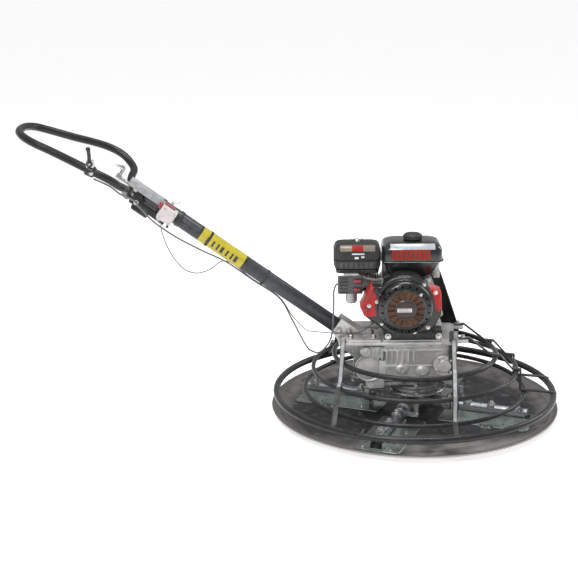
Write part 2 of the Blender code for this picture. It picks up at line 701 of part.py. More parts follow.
def tank():
    body = block("fuel_tank", (-0.116, -0.060, 0.529), (0.084, 0.090, 0.590), BLACK,
                 edge=0.014)
    lower = block("tank_belly", (-0.096, -0.046, 0.4680), (0.056, 0.070, 0.540), None)
    neck = rod("tank_neck", (CAP_AT.x, CAP_AT.y, 0.584), (CAP_AT.x, CAP_AT.y, 0.597), 0.020,
               None)
    bore = rod("tank_neck_bore", (CAP_AT.x, CAP_AT.y, 0.568), (CAP_AT.x, CAP_AT.y, 0.606),
               0.015, None)
    room = block("tank_room", (-0.108, -0.052, 0.538), (0.076, 0.082, 0.577), None)
    cut(join(body, lower, neck), room, bore)
    cap = turned("fuel_cap", [
        (0, 0.016), (0.026, 0.016), (0.031, 0.011), (0.031, -0.0015), (0.0205, -0.0015),
        (0.0205, 0.0058), (0, 0.0058)], PLASTIC, origin=CAP_AT, steps=20)
    hang(cap, pivot("fuel_cap_axis", CAP_AT))


def intake():
    cover = block("air_cleaner_cover", (-0.267, -0.0605, 0.506), (-0.1200, 0.032, 0.590), PLASTIC,
                  edge=0.010)
    spot = Vector((-0.193, -0.014, 0.0))
    nut = rod("wing_nut", spot + Z * 0.585, spot + Z * 0.596, 0.009, None)
    wings = block("wings", spot + Vector((-0.018, -0.0025, 0.591)),
                  spot + Vector((0.018, 0.0025, 0.599)), None)
    join(cover, nut, wings)
    body = block("carburettor", (-0.240, -0.080, 0.4295), (-0.186, -0.0225, 0.4945 - GAP), CAST)
    bowl = rod("float_bowl", (-0.213, -0.056, 0.395), (-0.213, -0.056, 0.435), 0.020, None)
    panel = block("choke_panel", (-0.258, -0.090, 0.432), (-0.178, -0.078, 0.493), None)
    base = block("air_cleaner_base", (-0.262, -0.058, 0.493), (-0.125, 0.030, 0.506 - GAP),
                 None)
    join(body, bowl, panel, base)
    for name, x, z, reach in (("choke_lever", -0.202, 0.476, 0.018),
                              ("fuel_valve_lever", -0.202, 0.448, 0.015)):
        knob = rod(name, (x, -0.0903, z), (x, -0.097, z), 0.006, RED_PLASTIC, sides=12)
        join(knob, block(f"{name}_tab", (x, -0.0965, z - 0.0035), (x + reach, -0.0915, z + 0.0035),
                         None))
        hang(knob, pivot(f"{name}_pivot", (x, -0.0903, z)))


def muffler():
    can = block("muffler", (-0.232, 0.056, 0.450), (-0.125, 0.126, 0.552), STEEL, edge=0.012)
    pipe_end = rod("exhaust_outlet", (-0.20, 0.118, 0.515), (-0.20, 0.140, 0.510), 0.009, None)
    join(can, pipe_end)


def throttle_arm():
    """The lever that the cable works, on the carburettor's left face."""
    hub = Vector((-0.240 - GAP, -0.066, 0.470))
    lever = rod("throttle_arm", hub, hub - X * 0.006, 0.007, STEEL, sides=12)
    join(lever, block("throttle_arm_blade", hub + Vector((-0.0055, -0.004, -0.028)),
                      hub + Vector((-0.0025, 0.004, 0)), None))
    hang(lever, pivot("throttle_arm_pivot", hub))


# ---------------------------------------------------------------- guard cage

def leg(name, points, normal):
    """A flat bar bent through the points; normal is the direction across its width."""
    wide = Vector(normal).normalized() * LEG_W / 2
    bm = bmesh.new()
    rows = []
    spots = [Vector(p) for p in points]
    for i, spot in enumerate(spots):
        ways = [(spots[j + 1] - spots[j]).normalized()
                for j in (i - 1, i) if 0 <= j < len(spots) - 1]
        along = sum(ways, Vector()).normalized()
        thick = along.cross(wide).normalized()
        thick *= LEG_T / 2 / max(0.5, along.dot(ways[0]))
        rows.append([bm.verts.new(spot + a * wide + b * thick)
                     for a, b in ((-1, -1), (1, -1), (1, 1), (-1, 1))])
    for first, second in zip(rows, rows[1:]):
        for i in range(4):
            j = (i + 1) % 4
            bm.faces.new((first[i], first[j], second[j], second[i]))
    bm.faces.new(rows[0][::-1])
    bm.faces.new(rows[-1])
    bmesh.ops.recalc_face_normals(bm, faces=bm.faces)
    mesh = bpy.data.meshes.new(name)
    bm.to_mesh(mesh)
    bm.free()
    return add(name, mesh, None)


def guard_cage():
    """Four round rings, and the flat legs from the deck welded on the outer one."""
    for name, (radius, height, wire, count) in GUARD.items():
        pipe(name, [(x, y, height) for x, y in circle(radius, count)], wire, BLACK,
             closed=True, detail=1)

    def crossing(ring, start, offset, slant):
        """Where a leg goes over a ring: distance out, height, side room."""
        radius, height, wire, _ = GUARD[ring]
        out = radius
        for _ in range(4):
            out = (radius ** 2 - (offset + slant * (out - start)) ** 2) ** 0.5
        room = LEG_W / 2 * abs(offset + slant * (out - start)) / out
        return out, height + wire + LEG_T / 2 + 4 * GAP, wire + LEG_T + room

    def route(start, shelf, offset, slant):
        """(distance out, height) points down a leg that starts at this offset."""
        points = [(start, shelf), (start + 0.034, shelf)]
        for ring in ("guard_ring_top", "guard_ring_middle", "guard_ring_lower"):
            out, over, room = crossing(ring, start, offset, slant)
            if out - room > points[-1][0]:
                points.append((out - room, over + room * 0.35))
                points.append((out + room, over + room * 0.10))
        out, over, _ = crossing("guard_ring_outer", start, offset, slant)
        return points + [(out - 0.020, over), (out + 0.002, over - 0.004)]

    shelf = DECK_TOP + LEG_T / 2 + GAP
    rim = bpy.data.objects["guard_ring_outer"]
    start = 0.083
    for name, offset, slant, side in (("leg_front_left", -0.236, -0.16, -1),
                                      ("leg_front_right", 0.118, -0.072, -1),
                                      ("leg_back_left", -0.236, -0.16, 1)):
        join(rim, leg(name, [(offset + slant * (out - start), side * out, z)
                             for out, z in route(start, shelf, offset, slant)], X))
    for name, offset in (("leg_right_front", -SIDE_LEG_Y), ("leg_right_back", SIDE_LEG_Y)):
        join(rim, leg(name, [(out, offset, z)
                             for out, z in route(0.136, shelf, offset, 0.0)], Y))


# ---------------------------------------------------------------- handle

def bracket():
    """Two cheeks that clamp the tube's foot, joined by the pin that the sheave runs on."""
    outline = [(-0.118, 0.168), (-0.118, 0.247), (-0.185, 0.290), (-0.243, 0.332),
               (-0.275, 0.288), (-0.236, 0.225), (-0.165, 0.168)]
    front, back = (flat(name, outline, 0.005, spec, side_view(side * 0.0311))
                   for name, side, spec in (("handle_bracket", -1, CAST), ("cheek_back", 1, None)))
    pin = rod("sheave_pin", (SHEAVE_X, -0.033, SHEAVE_Z), (SHEAVE_X, 0.033, SHEAVE_Z), 0.006,
              None)
    join(front, back, pin)


def handle_block(name, low, high, spec):
    """A box given by (above, side, along) corners in the handle's own directions."""
    place = frame_along(HANDLE_FOOT, HANDLE_DIR, on_handle(0, 1) - HANDLE_FOOT)
    return block(name, low, high, spec, place=place)


def handle_tube():
    """The tube, and the head welded on its end to carry the pitch screw."""
    tube = turned("handle_tube", [
        (TUBE_BORE, TUBE_TO), (TUBE_R, TUBE_TO), (TUBE_R, TUBE_FROM), (TUBE_BORE, TUBE_FROM)],
        TUBE_GREY, origin=HANDLE_FOOT, axis=HANDLE_DIR)
    keel = handle_block("head_keel", (-0.044, -0.020, 0.735), (-0.0225, 0.020, 0.868), None)
    wall = handle_block("head_wall", (-0.040, -0.020, 0.8480), (0.018, 0.020, 0.8600), None)
    hole = rod("screw_hole", on_handle(0.84), on_handle(0.87), SCREW_R + 2 * GAP, None)
    return cut(join(tube, keel, wall), hole)


def handlebar():
    """A closed loop, widest at the controls and narrower at the operator's end."""
    half = [(-0.930, 0.046, 0.755), (-0.928, 0.100, 0.780), (-0.923, 0.148, 0.796),
            (-0.938, 0.183, 0.814), (-0.967, 0.202, 0.839), (-1.010, 0.205, 0.862),
            (-1.060, 0.186, 0.883), (-1.110, 0.160, 0.902), (-1.156, 0.140, 0.920),
            (-1.198, 0.124, 0.936), (-1.233, 0.100, 0.950), (-1.257, 0.057, 0.959),
            (-1.2655, 0.0, 0.960)]
    mirrored = [(x, -y, z) for x, y, z in reversed(half[:-1])]
    ways = [Vector(p) for p in half + mirrored + [(-0.932, 0.0, 0.744)]]
    spans = len(ways)
    path = []
    for step in range(2 * spans):
        i, t = step // 2, step % 2 / 2
        a, b, c, d = (ways[(i + k) % spans] for k in (-1, 0, 1, 2))
        path.append(0.5 * (2 * b + (c - a) * t + (2 * a - 5 * b + 4 * c - d) * t * t
                           + (3 * b - a - 3 * c + d) * t ** 3))
    loop = pipe("handlebar_loop", path, BAR_R, BLACK, closed=True)
    at = LEVER_AT
    along = Vector((-0.05, 0.018, 0.019)).normalized()
    clamp = rod("lever_clamp", at - along * 0.014, at + along * 0.014, 0.018, None)
    post = block("clamp_post", (-0.012, -0.012, 0.005), (0.012, 0.012, 0.034), None,
                 place=Matrix.Translation(at))
    join(loop, clamp, post)


def pitch_control():
    """The screw in the handle's head, its crank, and the nut that pulls the rod."""
    screw = rod("pitch_screw", on_handle(0.800), on_handle(0.944), SCREW_R, STEEL)
    crank = rod("crank_arm", on_handle(0.938, -0.004), on_handle(0.938, 0.038), 0.0055, None,
                sides=12)
    knob = rod("crank_knob", on_handle(0.934, 0.034), on_handle(0.968, 0.034), 0.008, None,
               sides=12)
    hang(join(screw, crank, knob), pivot("pitch_screw_axis", on_handle(0.800)))

    nut = handle_block("pitch_nut", (-0.0145, -0.0145, 0.776), (0.0145, 0.0145, 0.828), STEEL)
    pull = rod("pull_rod", on_handle(0.050), on_handle(0.780), 0.003, None, sides=12)
    hole = rod("nut_thread", on_handle(0.785), on_handle(0.84), SCREW_R + 2 * GAP, None)
    cut(join(nut, pull), hole)
    hang(nut, pivot("pitch_nut_origin", on_handle(0.800)))


def throttle_lever():
    """A thumb lever that swings beside the clamp on the near side of the handlebar."""
    hub = LEVER_AT + Vector((0, -0.012 - GAP, 0.024))
    lever = rod("throttle_lever", hub, hub - Y * 0.006, 0.010, PLASTIC)
    paddle = block("lever_paddle", hub + Vector((-0.005, -0.006, 0.0)),
                   hub + Vector((0.005, -0.001, 0.050)), None)
    hang(join(lever, paddle), pivot("throttle_lever_pivot", hub))


def stop_switch():
    """The white stop box strapped beside the tube, with its red push button."""
    along = 0.745
    box = handle_block("stop_switch_box", (-0.026, -0.062, along - 0.027),
                       (0.026, -TUBE_R - GAP, along + 0.027), WHITE)
    at = on_handle(along + 0.0273, 0.012, -0.044)
    well = rod("button_well", at - HANDLE_DIR * 0.007, at + HANDLE_DIR * 0.010, 0.0108, None)
    button = rod("stop_button", at, at + HANDLE_DIR * 0.012, 0.010, RED_PLASTIC)
    hang(button, pivot("stop_button_pivot", at))
    cut(box, well)


# routes of the two cables, each from its control to the engine
THROTTLE_ROUTE = [
    (-1.012, -0.205, 0.8415), (-0.965, -0.202, 0.818), (-0.936, -0.182, 0.789),
    (-0.912, -0.150, 0.768), (-0.897, -0.105, 0.745), (-0.880, -0.064, 0.708),
    (-0.842, -0.046, 0.662), (-0.776, -0.036, 0.612), (-0.695, -0.022, 0.563),
    (-0.619, -0.011, 0.5220), (-0.535, -0.011, 0.4615), (-0.447, -0.012, 0.3980),
    (-0.406, -0.032, 0.331), (-0.361, -0.046, 0.246), (-0.338, -0.050, 0.226),
    (-0.315, -0.052, 0.224), (-0.286, -0.052, 0.256), (-0.2735, -0.048, 0.300),
    (-0.270, -0.042, 0.380), (-0.2695, -0.036, 0.425), (-0.262, -0.034, 0.447),
    (-0.251, -0.034, 0.452), (-0.2412, -0.034, 0.452)]
STOP_ROUTE = [
    (-0.8230, -0.056, 0.6690), (-0.819, -0.058, 0.630), (-0.795, -0.056, 0.566),
    (-0.758, -0.048, 0.513), (-0.718, -0.036, 0.492), (-0.676, -0.020, 0.497),
    (-0.6193, 0.003, 0.5210), (-0.535, 0.003, 0.4605), (-0.447, 0.002, 0.3972),
    (-0.404, -0.026, 0.340), (-0.361, -0.038, 0.298), (-0.325, -0.041, 0.291),
    (-0.286, -0.042, 0.287), (-0.235, -0.044, 0.284), (-0.185, -0.042, 0.288),
    (-0.148, -0.036, 0.312), (-0.124, -0.030, 0.340), (-0.1103, -0.030, 0.3440)]


def cables():
    pipe("throttle_cable", smooth_path(THROTTLE_ROUTE, 60), 0.0027, RUBBER)
    pipe("stop_wire", smooth_path(STOP_ROUTE, 50), 0.0016, RUBBER)


def main():
    rotor = pivot("rotor_axis", (0, 0, 0))
    input_marker = pivot("input_axis", (WORM_X, 0, WHEEL_Z))
    crank_marker = pivot("crank_axis", (CRANK_X, 0, CRANK_Z))
    hang(float_pan(), rotor)
    hang(spider(), rotor)
    for quarter in range(4):
        arm(quarter, rotor)
    pitch_stack(rotor)
    yoke()
    worm_drive(rotor, input_marker)
    gearbox(rotor)
    belt_drive(crank_marker, input_marker)
    deck()
    engine_block(crank_marker)
    cooling(crank_marker)
    tank()
    intake()
    muffler()
    throttle_arm()
    guard_cage()
    bracket()
    handle_tube()
    handlebar()
    pitch_control()
    throttle_lever()
    stop_switch()
    cables()


main()
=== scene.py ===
"""Looks of the walk-behind power trowel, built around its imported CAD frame.

Everything is in metres in the CAD frame: origin on the rotor's axis at the floor, +Z up,
handle toward -X, recoil starter toward -Y, belt drive on the +Y side.
"""
from math import cos, pi, radians, sin, sqrt, tau

import bmesh
import bpy
from mathutils import Matrix, Vector


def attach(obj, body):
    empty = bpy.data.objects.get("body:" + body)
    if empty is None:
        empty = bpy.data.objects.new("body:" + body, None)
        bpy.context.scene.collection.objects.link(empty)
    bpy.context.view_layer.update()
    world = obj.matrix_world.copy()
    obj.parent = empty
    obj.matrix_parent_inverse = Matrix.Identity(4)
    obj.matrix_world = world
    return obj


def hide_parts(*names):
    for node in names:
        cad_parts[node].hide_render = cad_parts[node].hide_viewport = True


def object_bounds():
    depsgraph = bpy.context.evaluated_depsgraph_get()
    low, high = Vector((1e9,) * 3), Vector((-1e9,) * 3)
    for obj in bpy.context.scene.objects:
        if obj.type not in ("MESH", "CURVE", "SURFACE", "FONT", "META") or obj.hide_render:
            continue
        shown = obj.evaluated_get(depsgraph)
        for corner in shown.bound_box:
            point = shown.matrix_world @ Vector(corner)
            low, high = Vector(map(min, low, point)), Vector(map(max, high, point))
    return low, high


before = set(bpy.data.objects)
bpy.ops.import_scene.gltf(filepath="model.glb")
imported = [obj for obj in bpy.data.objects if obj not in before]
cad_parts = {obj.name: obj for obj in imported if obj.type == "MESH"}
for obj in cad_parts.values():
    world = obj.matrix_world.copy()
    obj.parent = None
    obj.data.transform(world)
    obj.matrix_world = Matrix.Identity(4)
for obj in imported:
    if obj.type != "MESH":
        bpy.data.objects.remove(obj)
CAD_LOW, CAD_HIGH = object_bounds()
X, Y, Z = Vector((1, 0, 0)), Vector((0, 1, 0)), Vector((0, 0, 1))


# ------------------------------------------------------------------ camera, light, floor

def camera():
    """A long lens a little above the pan, square to the engine's recoil side."""
    target, distance = Vector((-0.415, 0.0, 0.425)), 4.902
    rise, roll = radians(16.32), radians(-0.44)
    back = Vector((0, -cos(rise), sin(rise)))
    side, up = X.copy(), back.cross(X)
    across = side * cos(roll) + up * sin(roll)
    upright = up * cos(roll) - side * sin(roll)
    data = bpy.data.cameras.new("camera")
    data.sensor_width = 36.0
    data.lens = 93.24
    data.clip_end = 50
    made = bpy.data.objects.new("camera", data)
    turn = Matrix((across, upright, back)).transposed().to_4x4()
    made.matrix_world = Matrix.Translation(target + back * distance) @ turn
    bpy.context.scene.collection.objects.link(made)
    bpy.context.scene.camera = made


def area_light(name, at, aim, size, power, colour=(1, 1, 1)):
    data = bpy.data.lights.new(name, "AREA")
    data.shape = "RECTANGLE"
    data.size, data.size_y = size
    data.energy = power
    data.color = colour
    made = bpy.data.objects.new(name, data)
    made.location = at
    made.rotation_euler = (Vector(aim) - Vector(at)).to_track_quat("-Z", "Y").to_euler()
    bpy.context.scene.collection.objects.link(made)


def studio():
    world = bpy.data.worlds.new("studio")
    world.use_nodes = True
    sky = world.node_tree.nodes["Background"]
    sky.inputs["Color"].default_value = (1.0, 1.0, 1.0, 1)
    sky.inputs["Strength"].default_value = 0.42
    bpy.context.scene.world = world
    bpy.context.scene.view_settings.view_transform = "Standard"
    area_light("key", (-1.5, -2.4, 3.2), (-0.1, 0, 0.3), (1.3, 1.0), 70)
    area_light("top", (0.0, 0.2, 3.4), (0, 0, 0.3), (1.6, 0.9), 50)
    area_light("rim", (2.8, 1.4, 2.0), (0, 0, 0.4), (0.8, 1.8), 30)
    mesh = bpy.data.meshes.new("floor")
    bm = bmesh.new()
    bmesh.ops.create_grid(bm, x_segments=1, y_segments=1, size=60)
    bm.to_mesh(mesh)
    bm.free()
    floor = bpy.data.objects.new("floor", mesh)
    floor.location.z = CAD_LOW.z - 0.0004
    mesh.materials.append(FLOOR)
    bpy.context.scene.collection.objects.link(floor)
    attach(floor, "pan")                    # the pan stays on the ground, the machine rises


# ------------------------------------------------------------------ materials

class Look:
    """A Principled material that is built up from procedural layers."""

    def __init__(self, name, rough=0.5, metal=0.0, **constants):
        self.made = bpy.data.materials.new(name)
        self.made.use_nodes = True
        self.tree = self.made.node_tree
        self.shader = self.tree.nodes["Principled BSDF"]
        self.feed(self.shader, Roughness=rough, Metallic=metal, **constants)
        self.at = self.node("TexCoord", "Object")
        self.relief = None

    def feed(self, node, *first, **named):
        """Links a socket into each input, or writes a constant on it."""
        for name, value in (*enumerate(first), *named.items()):
            target = node.inputs[name.replace("_", " ") if isinstance(name, str) else name]
            if isinstance(value, bpy.types.NodeSocket):
                self.tree.links.new(value, target)
            else:
                target.default_value = value

    def node(self, kind, result, *first, setting=(), **named):
        """Adds a node with these inputs, and gives its output of this name."""
        made = self.tree.nodes.new("ShaderNode" + kind)
        if setting:
            setattr(made, *setting)
        self.feed(made, *first, **named)
        return made.outputs[result]

    def math(self, operation, a, b):
        return self.node("Math", 0, a, b, setting=("operation", operation))

    def times(self, a, b):
        return self.math("MULTIPLY", a, b)

    def remap(self, value, source, target=(0.0, 1.0)):
        return self.node("MapRange", "Result", Value=value, From_Min=source[0], From_Max=source[1],
                         To_Min=target[0], To_Max=target[1])

    def axes(self, vector):
        return self.node("SeparateXYZ", 0, vector).node.outputs

    def stretched(self, scale):
        """The object's coordinates, stretched to draw grain along one direction."""
        return self.node("Mapping", 0, self.at, Scale=scale)

    def polar(self):
        """The distance from the Z axis and the angle round it."""
        parts = self.axes(self.at)
        flat = self.node("CombineXYZ", 0, parts["X"], parts["Y"])
        out = self.node("VectorMath", "Value", flat, setting=("operation", "LENGTH"))
        return out, self.math("ARCTAN2", parts["Y"], parts["X"])

    def ringed(self, scale):
        """Coordinates that run round the Z axis, for marks left by turning."""
        return self.node("CombineXYZ", 0, *map(self.times, self.polar(), scale))

    def across(self, axis, source):
        """0 to 1 as the object's own coordinate goes through the source range."""
        return self.remap(self.axes(self.at)[axis], source)

    def noise(self, scale, detail=4, at=None, low=0.0, high=1.0, spread=(0.3, 0.7)):
        """A noise from low to high; spread is the part of the noise that is used."""
        made = self.node("TexNoise", "Fac", Vector=at or self.at, Scale=scale, Detail=detail)
        return self.remap(made, spread, (low, high))

    def cells(self, scale):
        """Small round grains."""
        return self.remap(self.node("TexVoronoi", "Distance", self.at, Scale=scale), (0.0, 0.6))

    def worn(self, low=0.52, high=0.6):
        """1 along outer edges, where paint rubs thin."""
        return self.remap(self.node("NewGeometry", "Pointiness"), (low, high))

    def hollows(self, low=0.4, high=0.49):
        """1 in inner corners, where dirt gathers and where shade is painted."""
        return self.remap(self.node("NewGeometry", "Pointiness"), (low, high), (1.0, 0.0))

    def upward(self, low=0.4, high=0.95):
        """1 on faces that look up, where dust settles."""
        return self.remap(self.axes(self.node("NewGeometry", "Normal"))["Z"], (low, high))

    def colours(self, base, *layers):
        """Each layer is (colour, how much of it shows) over what is under it."""
        shown = self.tree.nodes.new("ShaderNodeRGB")
        shown.outputs[0].default_value = (*base, 1)
        below = shown.outputs[0]
        for colour, share in layers:
            below = self.node("Mix", "Result", setting=("data_type", "RGBA"), Factor=share, A=below,
                              B=(*colour, 1))
        self.feed(self.shader, Base_Color=below)

    def roughness(self, value):
        self.feed(self.shader, Roughness=value)

    def bump(self, value, depth):
        """Adds a relief; depth is in metres."""
        under = {"Normal": self.relief} if self.relief else {}
        self.relief = self.node("Bump", "Normal", Distance=depth, Strength=0.8, Height=value,
                                **under)
        self.feed(self.shader, Normal=self.relief)
        return self


def paint(name, colour, dark, rough, chip=(0.1, 0.1, 0.1), coat=0.0, dust=0.05,
          dust_colour=(0.24, 0.23, 0.22), shine=0.35):
    """Sprayed paint: faint orange peel, thin at the edges, a little dust on top."""
    look = Look(name, rough, 0.0, Coat_Weight=coat, Coat_Roughness=0.12, Specular_IOR_Level=shine)
    look.colours(colour, (dark, look.noise(9, 5)),
                 (chip, look.times(look.worn(), look.noise(55, 4, high=0.75))),
                 (dust_colour, look.times(look.upward(), look.noise(14, 6, high=dust))))
    look.roughness(look.noise(30, 5, low=rough - 0.07, high=rough + 0.1))
    return look.bump(look.noise(420, 2), 0.00012).made


def moulded(name, colour, dark, rough, grain=900):
    """Moulded plastic or rubber with a fine leathery grain."""
    look = Look(name, rough, 0.0, Specular_IOR_Level=0.35)
    look.colours(colour, (dark, look.noise(18, 4)),
                 ((0.16, 0.16, 0.16), look.times(look.worn(), look.noise(60, 3, high=0.3))))
    look.roughness(look.noise(45, 4, low=rough - 0.06, high=rough + 0.08))
    return look.bump(look.cells(grain), 0.0001).made


def casting(name, colour, dark, rough, metal=0.85, hollow_grime_and_shade=(0.06, 0.055, 0.05)):
    """Sand-cast metal: pebbled skin, hollows darkened by grime and painted shade, brighter where it is
    handled.
    """
    look = Look(name, rough, metal)
    look.colours(colour, (dark, look.noise(16, 6)),
                 ((0.82, 0.82, 0.8), look.times(look.worn(0.52, 0.58),
                                                 look.noise(40, 3, high=0.8))),
                 # inner corners darker: grime together with painted shade
                 (hollow_grime_and_shade, look.times(look.hollows(), look.noise(24, 5, low=0.3, high=0.95))))
    look.roughness(look.noise(35, 5, low=rough - 0.1, high=rough + 0.12))
    look.bump(look.noise(130, 5), 0.0005)
    return look.bump(look.cells(650), 0.00018).made


def metal_sheet(name, colour, dark, rough, grain=(60, 60, 900), depth=0.00006):
    """Rolled, drawn or ground steel, with grain along one direction and faint stains."""
    look = Look(name, rough, 1.0)
    drawn = look.stretched(grain)
    look.colours(colour, (dark, look.noise(22, 6)),
                 ((0.1, 0.075, 0.05), look.times(look.hollows(), look.noise(30, 5, high=0.7))))
    look.roughness(look.noise(1.0, 3, at=drawn, low=rough - 0.08, high=rough + 0.16))
    return look.bump(look.noise(1.0, 3, at=drawn), depth).made


def pan_steel():
    """Hot-rolled plate that has been floated over concrete: rings, smears and dry paste, with a
    painted reflection over the front and a rim lightened by wear and a painted reflection.
    """
    look = Look("pan_plate", 0.45, 0.75)
    rings = look.noise(1.0, 4, at=look.ringed((150, 1.3)), spread=(0.35, 0.75))
    smears = look.noise(1.0, 6, at=look.ringed((14, 1.1)), spread=(0.42, 0.72))
    rim = look.remap(look.polar()[0], (0.4, 0.43), (0.0, 1.0))
    # A painted reflection: lighter patches toward the front, where the plate would mirror the bright
    # room.
    painted_front_reflection = look.times(look.across("Y", (-0.22, -0.32)), look.noise(8, 6, spread=(0.3, 0.55)))
    look.colours((0.04, 0.04, 0.046), ((0.085, 0.085, 0.092), look.noise(7, 7)),
                 ((0.16, 0.16, 0.165), look.times(rings, smears)),
                 ((0.24, 0.23, 0.22), look.times(look.noise(26, 7, spread=(0.58, 0.74)),
                                                 look.upward(0.2, 0.9))),
                 # lighter towards the rim: partly worn plate, partly a painted reflection on the
                 # rising wall
                 ((0.27, 0.255, 0.245), rim),
                 ((0.15, 0.14, 0.135), look.times(rim, look.noise(18, 6, spread=(0.42, 0.62)))),
                 ((0.44, 0.42, 0.4), painted_front_reflection),
                 ((0.34, 0.33, 0.32), look.worn(0.5, 0.56)))
    look.roughness(look.noise(20, 6, low=0.34, high=0.62))
    look.bump(rings, 0.0002)
    return look.bump(look.noise(90, 6), 0.00035).made


def decal(name, colour, rough=0.35, coat=0.25):
    """A printed film, faintly uneven and scuffed."""
    look = Look(name, rough, 0.0, Coat_Weight=coat, Coat_Roughness=0.2, Specular_IOR_Level=0.2
                + coat)
    darker = tuple(c * 0.72 for c in colour)
    look.colours(colour, (darker, look.noise(60, 5, high=0.8)),
                 ((0.12, 0.11, 0.1), look.noise(130, 6, spread=(0.62, 0.75), high=0.55)))
    return look.bump(look.noise(260, 3), 0.00008).made


def floor_look():
    """A pale floor that glows a little, like a light table, so that it stays white."""
    look = Look("floor_white", 0.9, 0.0, Emission_Color=(1, 1, 1, 1), Emission_Strength=0.58)
    look.colours((0.9, 0.9, 0.9), ((0.87, 0.87, 0.87), look.noise(3, 4)))
    return look.made


FLOOR = floor_look()
BLACK = paint("satin_black", (0.008, 0.008, 0.009), (0.016, 0.016, 0.018), 0.34)
CAGE = paint("cage_black", (0.006, 0.006, 0.008), (0.02, 0.021, 0.024), 0.3, dust=0.14)
TUBE = paint("tube_grey", (0.026, 0.028, 0.034), (0.05, 0.054, 0.062), 0.34, dust=0.08)
LEG_GREY = paint("leg_grey", (0.38, 0.39, 0.4), (0.55, 0.56, 0.58), 0.42, dust=0.2)
TANK = paint("tank_black", (0.004, 0.006, 0.006), (0.01, 0.013, 0.013), 0.18, coat=0.7, dust=0.02)
RECOIL = paint("recoil_black", (0.005, 0.006, 0.006), (0.012, 0.014, 0.014), 0.24, coat=0.5,
               dust=0.02)
RED = paint("red_paint", (0.66, 0.014, 0.014), (0.44, 0.008, 0.01), 0.32, coat=0.2, dust=0.03,
            shine=0.25)
CAST = casting("cast_aluminium", (0.66, 0.65, 0.64), (0.4, 0.39, 0.39), 0.44, 0.7)
CAST_DARK = casting("cast_aluminium_dark", (0.3, 0.3, 0.3), (0.15, 0.15, 0.155), 0.5)
IRON = casting("cast_iron", (0.2, 0.2, 0.205), (0.11, 0.11, 0.115), 0.55, 0.8)
STEEL = metal_sheet("bright_steel", (0.62, 0.62, 0.61), (0.42, 0.42, 0.42), 0.24)
ZINC = metal_sheet("zinc_plated", (0.66, 0.66, 0.63), (0.48, 0.47, 0.44), 0.28,
                   grain=(300, 300, 300))
GALVANISED = metal_sheet("galvanised", (0.42, 0.44, 0.45), (0.26, 0.27, 0.28), 0.38,
                         grain=(90, 90, 200))
BLADE_STEEL = metal_sheet("blade_steel", (0.5, 0.55, 0.53), (0.3, 0.33, 0.32), 0.34,
                          grain=(50, 400, 50))
PAN = pan_steel()
PLASTIC = moulded("black_plastic", (0.014, 0.014, 0.015), (0.028, 0.028, 0.03), 0.42)
GREY_PLASTIC = moulded("grey_plastic", (0.05, 0.05, 0.055), (0.09, 0.09, 0.095), 0.46)
RUBBER = moulded("black_rubber", (0.012, 0.012, 0.012), (0.024, 0.024, 0.024), 0.72, 500)
SHEATH = moulded("cable_sheath", (0.1, 0.105, 0.11), (0.18, 0.185, 0.19), 0.42, 1500)
WHITE = moulded("white_plastic", (0.72, 0.69, 0.68), (0.6, 0.54, 0.54), 0.38)
RED_PLASTIC = moulded("red_plastic", (0.42, 0.045, 0.06), (0.3, 0.03, 0.045), 0.4)
FADED_RED = moulded("faded_red", (0.36, 0.13, 0.14), (0.24, 0.07, 0.08), 0.46)
YELLOW_FILM = decal("yellow_label", (0.56, 0.46, 0.03))
DARK_FILM = decal("dark_label", (0.03, 0.028, 0.022))
ORANGE_FILM = decal("orange_label", (0.4, 0.022, 0.012), 0.5, 0.04)
WHITE_FILM = decal("white_label", (0.8, 0.78, 0.78))
# a painted highlight, laid over the tank's front shoulder
PAINTED_HIGHLIGHT_FILM = decal("painted_highlight_band", (0.5, 0.53, 0.57), 0.2)
TAN_FILM = decal("tan_label", (0.28, 0.23, 0.18))
BRONZE = metal_sheet("bronze", (0.5, 0.3, 0.12), (0.33, 0.19, 0.08), 0.34)
VENT_BROWN = metal_sheet("vent_brown", (0.18, 0.085, 0.05), (0.07, 0.036, 0.026), 0.45)
HUB_BROWN = paint("hub_brown", (0.03, 0.017, 0.014), (0.06, 0.032, 0.024), 0.34, coat=0.3)
EXHAUST = metal_sheet("exhaust_steel", (0.34, 0.32, 0.3), (0.2, 0.15, 0.11), 0.4)


# ------------------------------------------------------------------ shapes

def frame_along(origin, axis, across=None):
    """A matrix whose +Z runs along axis, and whose +X leans toward across."""
    z = Vector(axis).normalized()
    guide = Vector(across) if across else (X if abs(z.x) < 0.9 else Y)
    x = (guide - z * guide.dot(z)).normalized()
    turn = Matrix((x, z.cross(x), z)).transposed().to_4x4()
    return Matrix.Translation(origin) @ turn


def quarter_turn(count):
    """The turn that brings +X to one of the rotor's arms as it stands at rest."""
    return Matrix.Rotation(radians(-22) + count * pi / 2, 4, "Z")


def box(corner, opposite, edge=0.0, place=None, steps=2):
    """A block between two opposite corners, given in either order."""
    low, high = (Vector(map(pick, corner, opposite)) for pick in (min, max))
    bm = bmesh.new()
    shape = Matrix.Translation((low + high) / 2) @ Matrix.Diagonal((*(high - low), 1))
    bmesh.ops.create_cube(bm, size=1.0, matrix=shape)
    if edge:
        bmesh.ops.bevel(bm, geom=list(bm.edges), offset=edge, segments=steps, profile=0.5,
                        affect="EDGES", clamp_overlap=True)
    if place:
        bm.transform(place)
    return bm


def ribs(count, step, corner, opposite, *edge_and_place):
    """Equal blocks in a row, each one step on from the last."""
    step, corner, opposite = Vector(step), Vector(corner), Vector(opposite)
    return [box(corner + step * i, opposite + step * i, *edge_and_place) for i in range(count)]


def around(count, radius, centre=(0, 0, 0), start=0.5, up=Y):
    """(angle, point) pairs on a circle from X toward up; start is in spacings."""
    for i in range(count):
        a = tau * (i + start) / count
        yield a, Vector(centre) + radius * (X * cos(a) + up * sin(a))


def ring_of(bm, centre, wide, high, sides):
    """A ring of vertices; wide and high are its two half axes."""
    return [bm.verts.new(centre + wide * cos(a) + high * sin(a))
            for a in (tau * k / sides for k in range(sides))]


